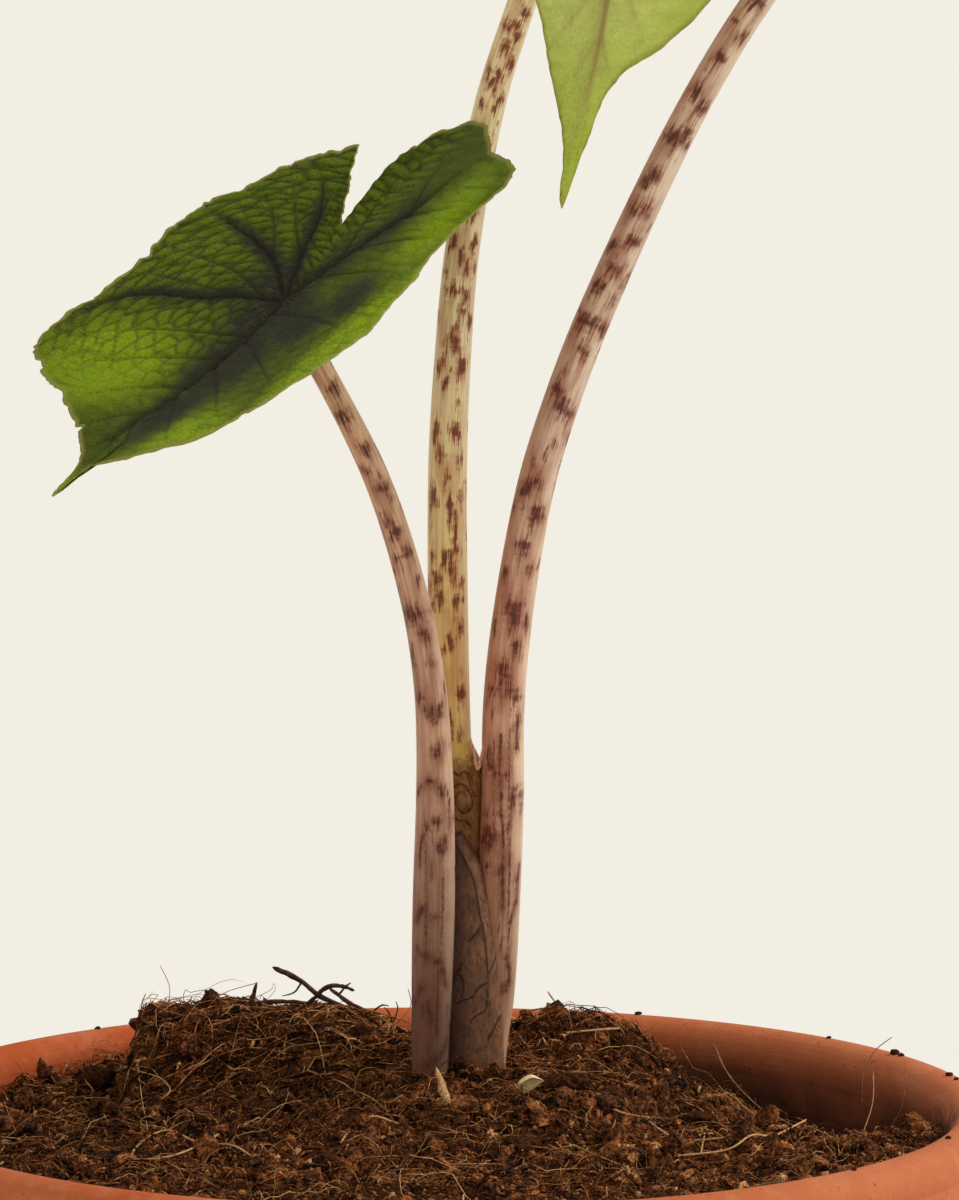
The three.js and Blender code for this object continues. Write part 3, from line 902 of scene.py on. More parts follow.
@dataclass
class Studio:
    """The camera at the picture's angle, a plain pale floor and soft light."""

    camera_at: Place = (6.45, -1000.0, 326.54)
    pitch_down: float = 6.69
    lens: float = 221.4
    sensor: float = 36.0
    farthest: float = 100.0
    floor_half: float = 40.0
    floor_colour: Colour = (0.896, 0.892, 0.847, 1.0)
    sky_colour: Colour = (1.0, 0.975, 0.93, 1.0)
    sky_strength: float = 0.6
    key_strength: float = 1.8
    key_from: Place = (1.0, 0.1, 0.95)
    key_softness: float = 22.0
    key_colour: Place = (1.0, 0.955, 0.89)

    def place_camera(self) -> None:
        """Places the camera. The picture is 959 by 1200 pixels, so its height sets the lens."""
        data = bpy.data.cameras.new("camera")
        data.lens = self.lens
        data.sensor_width = self.sensor
        data.sensor_fit = "AUTO"
        data.clip_end = self.farthest
        camera = placed("camera", data)
        camera.location = Vector(self.camera_at) * MM
        camera.rotation_euler = (math.radians(90 - self.pitch_down), 0, 0)
        bpy.context.scene.camera = camera

    def lay_floor(self) -> None:
        """Lays the floor that the pot stands on."""
        slab = bmesh.new()
        bmesh.ops.create_grid(slab, x_segments=2, y_segments=2, size=self.floor_half)
        mesh = finished(slab, "floor")
        g = Graph("floor")
        shader = g.surface(self.floor_colour, 1.0, None, Specular_IOR_Level=0.0)
        mesh.materials.append(g.done(shader))
        placed("floor", mesh)

    def light(self) -> None:
        """Lights the scene: an even sky and a broad key light from the right and behind."""
        world = bpy.data.worlds.new("sky")
        world.use_nodes = True
        background = world.node_tree.nodes["Background"]
        background.inputs["Color"].default_value = self.sky_colour
        background.inputs["Strength"].default_value = self.sky_strength
        bpy.context.scene.world = world
        data = bpy.data.lights.new("key", "SUN")
        data.energy = self.key_strength
        data.angle = math.radians(self.key_softness)
        data.color = self.key_colour
        key = placed("key", data)
        key.rotation_euler = Vector(self.key_from).to_track_quat("Z", "Y").to_euler()
        view = bpy.context.scene.view_settings
        view.view_transform = "Standard"
        view.look = "None"

    def build(self) -> None:
        """Sets up the whole studio."""
        self.place_camera()
        self.lay_floor()
        self.light()


@dataclass
class Pot:
    """A turned terracotta pot with a stepped band, a round lip and three drain holes."""

    height: float = 140.0
    lip_radius: float = 3.5
    rim_radius: float = 78.0
    floor: float = 8.0
    base_inner: float = 46.0
    steps: int = 168
    sharp_from: float = 35.0
    worn_edge: float = 0.45
    holes: int = 3
    hole_steps: int = 28
    hole_radius: float = 6.0
    hole_circle: float = 22.0
    outer_wall: tuple[tuple[float, float], ...] = (
        (51.0, 0), (52.5, 1.5), (56.6, 22), (60, 42), (63.6, 62), (67, 82), (69.6, 96),
        (71.8, 108.5), (72.4, 110), (74.8, 110.6), (75.8, 112), (76.6, 120), (77.4, 128),
        (77.7, 134.2), (77.45, 134.7), (77.85, 135.3),
    )
    inner_wall: tuple[tuple[float, float], ...] = (
        (71.05, 134), (70.2, 128), (69.2, 122), (67.5, 112), (66.3, 109), (64.5, 105),
        (59, 76), (52, 40), (46, 8),
    )

    def inner_radius(self, height: Array) -> Array:
        """The radius of the inner wall at a height."""
        heights = [self.floor, 105, 112, self.height - self.lip_radius]
        radii = [self.base_inner, 64.5, 67.5, self.rim_radius - 2 * self.lip_radius]
        return np.interp(height, heights, radii)

    def profile(self) -> list[tuple[float, float]]:
        """The section from the axis over the outer wall, the lip and the inner wall."""
        crown = self.rim_radius - self.lip_radius
        level = self.height - self.lip_radius
        lip = [
            (crown + self.lip_radius * math.cos(a), level + self.lip_radius * math.sin(a))
            for a in np.linspace(0, math.pi, 11)
        ]
        return [(0, 0), *self.outer_wall, *lip, *self.inner_wall, (0, self.floor)]

    def turned(self) -> Mesh:
        """Turns the section about the axis."""
        shell = spun(self.profile(), self.steps)
        sharp = [
            edge for edge in shell.edges
            if len(edge.link_faces) == 2 and edge.calc_face_angle(0) > math.radians(self.sharp_from)
        ]
        bmesh.ops.bevel(
            shell, geom=sharp, offset=self.worn_edge * MM, segments=2, profile=0.5, affect="EDGES",
            material=-1, clamp_overlap=True,
        )
        return finished(shell, "pot_turned")

    def drill(self) -> Mesh:
        """Three tapered plugs that cut the drain holes with a worn edge."""
        radius = self.hole_radius
        section = [(0, -4), (radius + 3.2, -4), (radius, 0.6), (radius, 7.5), (radius + 3, 12), (0, 12)]
        one = finished(spun(section, self.hole_steps), "plug")
        whole = bmesh.new()
        for index in range(self.holes):
            angle = math.pi / 2 + index * TURN / self.holes
            before = len(whole.verts)
            whole.from_mesh(one)
            whole.verts.ensure_lookup_table()
            shift = Vector((math.cos(angle), math.sin(angle), 0)) * self.hole_circle * MM
            bmesh.ops.translate(whole, verts=whole.verts[before:], vec=shift)
        return finished(whole, "plugs")

    def shaped(self) -> Mesh:
        """The turned pot with its holes, its wall a little uneven from the wheel."""
        pot = placed("pot_whole", self.turned())
        plugs = placed("pot_plugs", self.drill())
        cut = pot.modifiers.new("Holes", "BOOLEAN")
        cut.object = plugs
        cut.operation = "DIFFERENCE"
        cut.solver = "EXACT"
        graph = bpy.context.evaluated_depsgraph_get()
        mesh = bpy.data.meshes.new_from_object(pot.evaluated_get(graph))
        for made in (pot, plugs):
            bpy.data.objects.remove(made)
        points = read_points(mesh) / MM
        radius = np.hypot(points[:, 0], points[:, 1])
        angle = np.arctan2(points[:, 1], points[:, 0])
        height = points[:, 2]
        wall = smooth(radius, 40, 50) * smooth(height, 1, 6)
        lines = 0.05 * ripple(height, height * 0, 2.6, 3) + 0.06 * ripple(height, angle, 6.5, 8)
        sway = 0.12 * np.sin(2 * angle + 0.6 + height * 0.01)
        moved = wall * (lines + sway)
        points[:, 0] += moved * np.cos(angle)
        points[:, 1] += moved * np.sin(angle)
        middle = self.inner_radius(height) + 2.2
        inside = smooth(middle - radius, -0.5, 1.5) * smooth(height, self.floor - 1, self.floor)
        line = smooth(-(height - soil_height(points[:, 0], points[:, 1])), -9, 1) * inside
        # Painted shade: the inner wall darker towards the right, which faces away from the key light,
        # fading out near the top.
        shaded = inside * (0.05 + 0.95 * smooth(points[:, 0], -20, 40))
        shaded = shaded * smooth(-height, -139, -131)
        line = line * (0.35 + 0.65 * smooth(points[:, 0], -40, 20))
        set_shape(mesh, Shape(points, {"shade_and_damp": shaded, "soil_line": line}))
        return mesh

    def build(self) -> None:
        """Makes the pot."""
        finish = TerracottaFinish().material()
        add_piece("terracotta_pot_body", self.shaped(), finish, ["terracotta_pot"])


MIX_LEVEL = 137.0
MOUNDS = ((7.5, (3, 2), (30, 24)), (9, (22, 24), (17, 13)))
HOLLOWS = ((3, (-62, 20), (18, 36)), (13, (57, 30), (20, 26)), (7, (20, 64), (40, 16)))
BLOCK_RISE = 8.5
CORNER_RISE = 1.5


def soil_height(x: Array, y: Array) -> Array:
    """The mix's height: mounds round the plant, the root ball's block and hollows at the wall.

    Args:
        x, y: places in millimetres.

    Returns:
        The height of the mix there, without its crumbs.
    """
    block = smooth(x, -44, -41) * (1 - smooth(x, -16, 4)) * smooth(y, 0, 18) * (1 - smooth(y, 36, 54))
    corner = smooth(x, -44, -41) * (1 - smooth(x, -30, -20))
    corner = corner * smooth(y, 10, 22) * (1 - smooth(y, 36, 54))
    level = MIX_LEVEL
    for tall, at, size in MOUNDS:
        level = level + tall * hump(x, y, at, size)
    level = level + BLOCK_RISE * block + CORNER_RISE * corner
    for deep, at, size in HOLLOWS:
        level = level - deep * hump(x, y, at, size)
    return level


def crumbled(x: Array, y: Array) -> Array:
    """The mix's height with its clods and crumbs."""
    calm = 1 - 0.6 * hump(x, y, (4, 1.5), (9, 8))
    calm = calm - 0.45 * smooth(x, -47, -41) * (1 - smooth(x, -14, -2)) * smooth(y, 6, 14)
    clods = 1.2 * ripple(x, y, 8.5, 1) + 1.2 * np.abs(ripple(x, y, 4.2, 2))
    crumbs = 0.7 * ripple(x, y, 2.1, 3) + 0.35 * ripple(x, y, 1.1, 4)
    pits = 3.0 * smooth(ripple(x + 40, y, 3.8, 7), 0.3, 0.85)
    return soil_height(x, y) + calm * (clods + crumbs - pits) - 0.4


@dataclass
class PottingMix:
    """The fibrous mix: a packed bed with loose crumbs, chips and coir fibres on it."""

    pot: Pot
    around: int = 320
    rings: int = 100
    wall_heights: tuple[float, ...] = (8.3, 40, 75, 104, 118)
    gap: float = 0.3
    strewn_radius: float = 69.5
    wall_top: float = 136.0
    free_above: float = 141.0
    crumb_tone: tuple[float, float] = (0.29, 0.25)
    clod_from: float = 1.2
    clod_tones: tuple[float, float] = (0.08, 0.34)
    pale_share: float = 0.05
    block_fibres: int = 560
    block_span: tuple[tuple[float, float], ...] = ((-43, -8), (2, 36))

    def bed(self) -> Mesh:
        """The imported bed, which follows the pot's inner wall."""
        walls = len(self.wall_heights)
        rows = walls + self.rings + 1

        def place(column: Array, row: Array) -> Shape:
            """Rows run from the floor's centre up the wall and over the top to its centre."""
            angle = column % self.around * TURN / self.around
            reach = np.clip(1 - (row - walls - 1) / self.rings, 0, 1)
            edge = np.full(len(row), 70.0)
            for _ in range(4):
                height = soil_height(edge * np.cos(angle), edge * np.sin(angle))
                edge = self.pot.inner_radius(height) - self.gap
            radius = reach * edge
            level = crumbled(radius * np.cos(angle), radius * np.sin(angle))
            level = level - 0.8 * smooth(reach, 0.97, 1)
            on_wall = row <= walls
            wall_level = np.array([self.wall_heights[0], *self.wall_heights])[np.minimum(row, walls)]
            wall_radius = np.where(row == 0, 0.0, self.pot.inner_radius(wall_level) - self.gap)
            radius = np.where(on_wall, wall_radius, radius)
            level = np.where(on_wall, wall_level, level)
            return Shape(np.stack([radius * np.cos(angle), radius * np.sin(angle), level], axis=1))

        return bent_grid("mix_bed", self.around, rows, place)

    def spots(self, rng: Random, count: int) -> Array:
        """Random places, spread evenly over the mix."""
        angle = rng.uniform(0, TURN, count)
        radius = self.strewn_radius * rng.uniform(0, 1, count) ** 0.5
        return np.stack([radius * np.cos(angle), radius * np.sin(angle)], axis=1)

    def inside_pot(self, points: Array, room: float = 0.6) -> Array:
        """The same points, drawn in where they would lie in the pot's wall.

        Args:
            points: places in millimetres, which are changed.
            room: how far from the wall they stay.

        Returns:
            The places.
        """
        radius = np.hypot(points[..., 0], points[..., 1])
        limit = self.pot.inner_radius(np.minimum(points[..., 2], self.wall_top)) - room
        share = np.minimum(1, limit / np.maximum(radius, 1e-6))
        scale = np.where(points[..., 2] < self.free_above, share, 1)
        points[..., 0] *= scale
        points[..., 1] *= scale
        return points

    def lying(
        self, rng: Random, spots: Array, length: Array, joints: int,
        curl: float, lift: tuple[float, float], rise: float, spread: float = math.pi,
    ) -> Array:
        """Paths of fibres that lie on the mix in loose curves.

        Args:
            rng: the source of random numbers.
            spots: where each one starts.
            length: how long each one is.
            joints: how many points a path has.
            curl: how much it turns on its way.
            lift: the least and the most height of its middle over the mix.
            rise: how far its far end may stand up.
            spread: how far its heading may be from left or right.

        Returns:
            The paths.
        """
        count = len(spots)
        share = np.linspace(0, 1, joints)[None]
        heading = rng.uniform(-spread, spread, (count, 1)) + rng.normal(0, curl, (count, 1)) * share
        heading = heading + rng.normal(0, 0.4 * curl, (count, 1)) * np.sin(TURN * share)
        step = length[:, None] / (joints - 1)
        x = spots[:, :1] + np.cumsum(step * np.cos(heading), axis=1)
        y = spots[:, 1:] + np.cumsum(step * np.sin(heading), axis=1)
        points = self.inside_pot(np.stack([x, y, soil_height(x, y)], axis=2))
        x, y = points[..., 0], points[..., 1]
        arch = rng.uniform(*lift, (count, 1)) * 4 * share * (1 - share)
        tip = rise * rng.uniform(0, 1, (count, 1)) ** 4 * share**2
        points[..., 2] = crumbled(x, y) * 0.6 + soil_height(x, y) * 0.4 + 0.1 + arch + tip
        return points

    def crumbs(self, name: str, seed: int, count: int, size: tuple[float, float], fine: int) -> Mesh:
        """Many rough lumps of peat and bark.

        Args:
            name: the mesh's name.
            seed: starts the random numbers.
            count: how many there are.
            size: the least and the most radius.
            fine: the icosphere's subdivisions.

        Returns:
            One mesh of all the lumps.
        """
        rng = np.random.default_rng(seed)
        template, local = ball(name + "_ball", fine)
        mesh = copies(name, template, count)
        waves = rng.normal(0, 2.6, (count, 3, 3))
        phase = rng.uniform(0, TURN, (count, 1, 3))
        shift = np.sin(np.einsum("vk,nkw->nvw", local, waves) + phase).sum(axis=2)
        bulge = 1 + 0.2 * shift
        frames = np.linalg.qr(rng.normal(size=(count, 3, 3)))[0]
        radius = size[0] + (size[1] - size[0]) * rng.uniform(0, 1, count) ** 2.5
        axes = rng.uniform([0.7, 0.45, 0.3], [1.5, 0.95, 0.8], (count, 3))
        shaped = local[None] * bulge[..., None] * (axes * radius[:, None])[:, None]
        turned = np.einsum("nvk,nkj->nvj", shaped, frames)
        spots = self.spots(rng, count)
        base = crumbled(spots[:, 0], spots[:, 1]) + radius * rng.uniform(-0.2, 0.5, count)
        centres = self.inside_pot(np.column_stack([spots, base]), 1.5)
        large = radius > self.clod_from
        tones = rng.normal(*self.crumb_tone, count)
        least, most = self.clod_tones
        tones = np.clip(tones - least * large, np.where(large, least, 0), np.where(large, most, 1))
        # Painted light and shade: crumbs lighter towards the front and the right, where the light falls,
        # and darker at the left.
        tones = tones + 0.12 * smooth(-spots[:, 1], 5, 50) + 0.09 * smooth(spots[:, 0], 0, 40)
        tones = tones - 0.05 * smooth(-spots[:, 0], 15, 50)
        pale = (rng.uniform(0, 1, count) < self.pale_share) & (radius < 0.7)
        tones = np.where(pale, 0.95, tones)
        points = turned + centres[:, None]
        values = {"tone": np.repeat(tones, len(local))}
        set_shape(mesh, Shape(points.reshape(-1, 3), values))
        return mesh

    def fibres(
        self, name: str, seed: int, count: int, joints: int, length: tuple[float, float],
        radius: tuple[float, float], tone: tuple[float, float], curl: float = 1.2,
        lift: tuple[float, float] = (0.1, 1.2), rise: float = 2.5,
    ) -> Mesh:
        """Many fibres that lie on the mix, all of one kind.

        Args:
            name: the mesh's name.
            seed: starts the random numbers.
            count: how many there are.
            joints: how many points each one has.
            length, radius: the least and the most.
            tone: the middle of their tones and how much they differ.
            curl, lift, rise: how they lie, as for the method that lays them.

        Returns:
            One mesh of all the fibres.
        """
        rng = np.random.default_rng(seed)
        spots = self.spots(rng, count)
        lengths = length[0] + (length[1] - length[0]) * rng.uniform(0, 1, count) ** 1.6
        radii = radius[0] + (radius[1] - radius[0]) * rng.uniform(0, 1, count) ** 2
        tones = np.clip(rng.normal(tone[0], tone[1], count), 0, 1)
        paths = self.lying(rng, spots, lengths, joints, curl, lift, rise)
        return strands(name, paths, radii, tones)

    def matted_block(self) -> Mesh:
        """The long fibres that bind the root ball's block, most of them lying level."""
        rng = np.random.default_rng(24)
        count = self.block_fibres
        spots = np.column_stack([rng.uniform(*span, count) for span in self.block_span])
        lengths = rng.uniform(5, 17, count)
        paths = self.lying(rng, spots, lengths, 8, 0.7, (0.1, 1.2), 2.0, 0.5)
        tones = np.clip(rng.normal(0.36, 0.3, count), 0, 1)
        return strands("mix_block_fibre", paths, rng.uniform(0.05, 0.14, count), tones)

    def build(self) -> None:
        """Makes the bed and all that lies loose on it."""
        earth = EarthFinish()
        add_piece("mix_bed", self.bed(), earth.bed(), ["potting_mix"])
        loose = earth.loose("mix_loose")
        fibrous = earth.loose("mix_fibre")
        sorts = [("mix_clods", 11, 760, (0.8, 2.2), 2), ("mix_crumbs", 12, 6400, (0.25, 1.0), 1)]
        for name, seed, count, size, fine in sorts:
            mesh = self.crumbs(name, seed, count, size, fine)
            add_piece(name, mesh, loose, (), Shading.FACETED)
        hairs = [
            ("mix_matted_fibre", 21, 5000, 6, (2.5, 8), (0.06, 0.15), (0.28, 0.22), 1.4, (0.1, 1.3), 1.5),
            ("mix_short_fibre", 23, 4500, 5, (1.2, 4), (0.05, 0.14), (0.36, 0.3), 1.0, (0.1, 1.5), 2.0),
            ("mix_shreds", 25, 1100, 4, (1.0, 3.2), (0.14, 0.34), (0.42, 0.24), 0.8, (0.2, 1.3), 1.0),
            ("mix_coir", 22, 700, 9, (7, 22), (0.04, 0.085), (0.72, 0.25), 1.8, (0.3, 2.4), 5.0),
        ]
        for name, *sort in hairs:
            add_piece(name, self.fibres(name, *sort), fibrous)
        add_piece("mix_block_fibre", self.matted_block(), fibrous)


@dataclass(frozen=True)
class Mark:
    """A blotch on a petiole: its height, how far right of the middle, and its half sizes."""

    height: float
    across: float
    tall: float = 0.9
    wide: float = 0.7
    strength: float = 1.0


@dataclass
class Petiole:
    """One round leaf stalk, finely ribbed, with its own blotches."""

    name: str
    node: str
    slot: str
    controls: Rows
    joint: Place
    joint_up: Place
    finish: PetioleFinish
    marks: Rows
    seed: int
    mark_scale: tuple[float, float] = (1.0, 1.0)
    flecks: float = 0.5
    strokes: Strokes = ()
    sides: int = 88
    ring_gap: float = 0.9
    ribs: int = 25
    density: float = 0.32
    sunk: float = 0.3
    flush_below: float = 0.75
    lane: float = 0.26
    marks_from: float = 25.0
    flecks_from: float = 30.0

    def stations(self) -> tuple[Route, Array]:
        """The route, and the shares of it where rings lie, up to the blade's underside."""
        route = Route(self.controls)
        fine = np.linspace(0, 1, 2000)
        level = (route.at(fine) - np.array(self.joint)) @ unit(np.array(self.joint_up))
        below = fine[(level < self.sunk) | (fine < 0.7)]
        cut = below[-1] if level[-1] > self.sunk else 1.0
        length = route.lengths(np.array([cut]))[0]
        even = np.linspace(0, length, int(length / self.ring_gap))
        return route, np.interp(even, route.lengths(fine), fine)

    def measured(self, route: Route) -> tuple[Array, Array, Array]:
        """The heights, the lengths and the radii at close places along the route."""
        fine = np.linspace(0, 1, 800)
        return route.at(fine)[:, 2], route.lengths(fine), route.values(fine)[:, 0]

    def spread_marks(self, route: Route) -> list[tuple[float, float, float, float, float]]:
        """Places the marks and adds seeded ones at the sides and at the back.

        Args:
            route: the stalk's middle line.

        Returns:
            All blotches as length along, angle, half height, half angle and strength.
        """
        heights, lengths, radii = self.measured(route)
        spread = []
        for mark in (Mark(*row) for row in self.marks):
            at = float(np.interp(mark.height, heights, lengths))
            radius = float(np.interp(mark.height, heights, radii))
            angle = math.asin(max(-0.97, min(0.97, mark.across / radius)))
            spread.append((at, angle, mark.tall, mark.wide / radius, mark.strength))
        rng = np.random.default_rng(self.seed)
        total = lengths[-1] - self.marks_from
        for _ in range(int(total * self.density)):
            at = self.marks_from + total * rng.uniform()
            angle = math.pi + rng.uniform(-1.75, 1.75)
            size = rng.uniform(0.4, 1.3)
            spread.append((at, angle, size, rng.uniform(0.15, 0.6), rng.uniform(0.6, 1.0)))
        for _ in range(int(total * self.flecks)):
            at = self.flecks_from + (total - self.flecks_from + self.marks_from) * rng.uniform()
            angle = rng.uniform(-math.pi, math.pi)
            spread.append((at, angle, rng.uniform(0.3, 0.9), rng.uniform(0.06, 0.16), 0.7))
        return spread

    def spread_strokes(self, route: Route) -> list[tuple[float, float, Array]]:
        """All strokes as half width, strength and points of length along and arc round."""
        heights, lengths, radii = self.measured(route)
        spread = []
        for width, strength, line in self.strokes:
            points = np.array(line, float)
            radius = np.interp(points[:, 0], heights, radii)
            arc = np.arcsin(np.clip(points[:, 1] / radius, -0.98, 0.98)) * radius
            along = np.interp(points[:, 0], heights, lengths)
            spread.append((width, strength, np.column_stack([along, arc])))
        return spread

    def body(self) -> Mesh:
        """The stalk's mesh with its grain and its marks."""
        route, share = self.stations()
        centre = route.at(share)
        radius = route.values(share)[:, 0]
        length = route.lengths(share)
        kernel = np.ones(15) / 15
        radius = np.convolve(np.pad(radius, 7, mode="edge"), kernel, mode="valid")
        side, front = stalk_sides(centre)
        rings = len(share)
        marks = self.spread_marks(route)
        strokes = self.spread_strokes(route)

        def place(column: Array, row: Array) -> Shape:
            """The stalk's surface and its colours; angle 0 faces the front."""
            ring, full, angle = tube_places(column, row, self.sides, rings)
            rib = 1 + 0.012 * ripple(angle * self.ribs, length[ring] / 6, 2.6, self.seed)
            rib = rib + 0.008 * np.sin(5 * angle + 0.05 * length[ring] + self.seed)
            width = radius[ring] * rib * full
            out = np.sin(angle)[:, None] * side[ring] - np.cos(angle)[:, None] * front[ring]
            grain = np.stack([2.5 * np.sin(angle), 2.5 * np.cos(angle), length[ring]], axis=1)
            value, flush, smudge = np.zeros((3, len(row)))
            arc = ((angle + math.pi) % TURN - math.pi) * radius[ring]
            comb = ripple(arc, length[ring] / 9, 0.32, self.seed)
            slow = ripple(arc, length[ring], 1.2, self.seed + 1)
            level = length[ring] + 0.35 * comb + 0.4 * slow
            sway = 0.12 * ripple(length[ring], arc, 1.0, self.seed + 2)
            for half, strength, line in strokes:
                away, _ = distance_to_line(np.column_stack([length[ring], arc]), line)
                value = np.maximum(value, 0.88 * strength * np.exp(-((away / (1.5 * half)) ** 2)))
                flush = np.maximum(flush, strength * np.exp(-((away / 1.1) ** 2)))
                wide_half = 0.25 + 2.2 * half
                smudge = np.maximum(smudge, strength * np.exp(-((away / wide_half) ** 2)))
            column_of_cells = np.floor(arc / self.lane + 0.4 * ripple(length[ring], arc, 2.0, 3))
            for at, facing, tall, wide, strength in marks:
                turned = np.abs((angle + sway - facing + math.pi) % TURN - math.pi)
                jump = scrambled(column_of_cells, at * 0.37 + column_of_cells * 0, self.seed)
                up = (level - at + 0.8 * (jump - 0.5)) / (tall * self.mark_scale[0])
                up = np.where(up < 0, up / (1 + 1.8 * (jump * 11.7 % 1) ** 2), up)
                aside = turned / (wide * self.mark_scale[1])
                core = 0.68 * np.exp(-(((up / 1.15) ** 2 + (aside / 1.15) ** 2) ** 1.2))
                fringe = 0.4 * np.exp(-((up / 2.6) ** 2) - (aside / 1.3) ** 2)
                broken = 0.55 + 0.6 * (jump * 7.3 % 1)
                value = np.maximum(value, strength * broken * (core + fringe))
                flush = np.maximum(flush, strength * np.exp(-((up / 3.4) ** 2) - (aside / 2) ** 2))
            points = centre[ring] + out * width[:, None]
            up = unit(np.array(self.joint_up))
            over = (points - np.array(self.joint)) @ up + self.flush_below
            over = np.where(row > 0.85 * (rings + 1), np.maximum(over, 0), 0)
            points = points - over[:, None] * up
            values = {"grain": grain, "mark": value, "flush": flush, "smudge": smudge}
            return Shape(points, values)

        return bent_grid(self.name, self.sides, rings + 1, place)

    def build(self) -> None:
        """Makes the stalk."""
        add_piece(self.name, self.body(), self.finish.material(), [self.node])


@dataclass
class Sheath:
    """A sheath round the stalks' feet along controls of [x, y, z, half width, half depth]."""

    name: str
    node: str
    slot: str
    controls: Rows
    finish: SheathFinish
    veins: Sequence[Line]
    power: float = 2.0
    sides: int = 120
    rings: int = 170
    fine_from: float = 141.0
    vein_width: float = 0.14
    shaded: float = 1.0

    def body(self) -> Mesh:
        """The sheath's mesh with its veins."""
        route = Route(self.controls)
        fine = np.linspace(0, 1, 2000)
        heights = route.at(fine)[:, 2]
        coarse = np.linspace(heights[0], self.fine_from, 10)[:-1]
        wanted = [*coarse, *np.linspace(self.fine_from, heights[-1], self.rings - 9)]
        share = np.interp(wanted, heights, fine)
        centre = route.at(share)
        sizes = route.values(share)
        side, front = stalk_sides(centre)

        def place(column: Array, row: Array) -> Shape:
            """The sheath's surface with its veins."""
            ring, full, angle = tube_places(column, row, self.sides, self.rings)
            a, b = np.sin(angle), -np.cos(angle)
            norm = (np.abs(a) ** self.power + np.abs(b) ** self.power) ** (1 / self.power)
            wave = 1 + 0.02 * ripple(angle * 3, centre[ring, 2], 2.5, 4) * (np.cos(angle) > -0.5)
            a = a / norm * sizes[ring, 0] * wave * full
            b = b / norm * sizes[ring, 1] * wave * full
            points = centre[ring] + a[:, None] * side[ring] + b[:, None] * front[ring]
            vein = np.zeros(len(row))
            facing = (np.cos(angle) > 0.0) & (full > 0)
            for line in self.veins:
                curve = Route(line, 2).at(np.linspace(0, 1, 6 * len(line)))
                away, part = distance_to_line(points[:, [0, 2]], curve)
                width = self.vein_width * (1.25 - 0.6 * part)
                vein = np.maximum(vein, np.exp(-((away / width) ** 2)) * facing)
            # Painted shade: the sheath darker at its left, where it turns in behind the left stalk.
            fold = self.shaded * smooth(-points[:, 0], -6.6, -3.2) * (np.cos(angle) > -0.2)
            points = points - 0.12 * vein[:, None] * np.array([0, 1.0, 0])
            return Shape(points, {"vein": vein, "fold": fold})

        return bent_grid(self.name, self.sides, self.rings + 1, place)

    def build(self) -> None:
        """Makes the sheath."""
        add_piece(self.name, self.body(), self.finish.material(), [self.node])


@dataclass(frozen=True)
class Vein:
    """A vein in the flat blade: its points, its half width at its foot, and its rank."""

    points: Line
    width: float = 0.8
    depth: float = 1.0


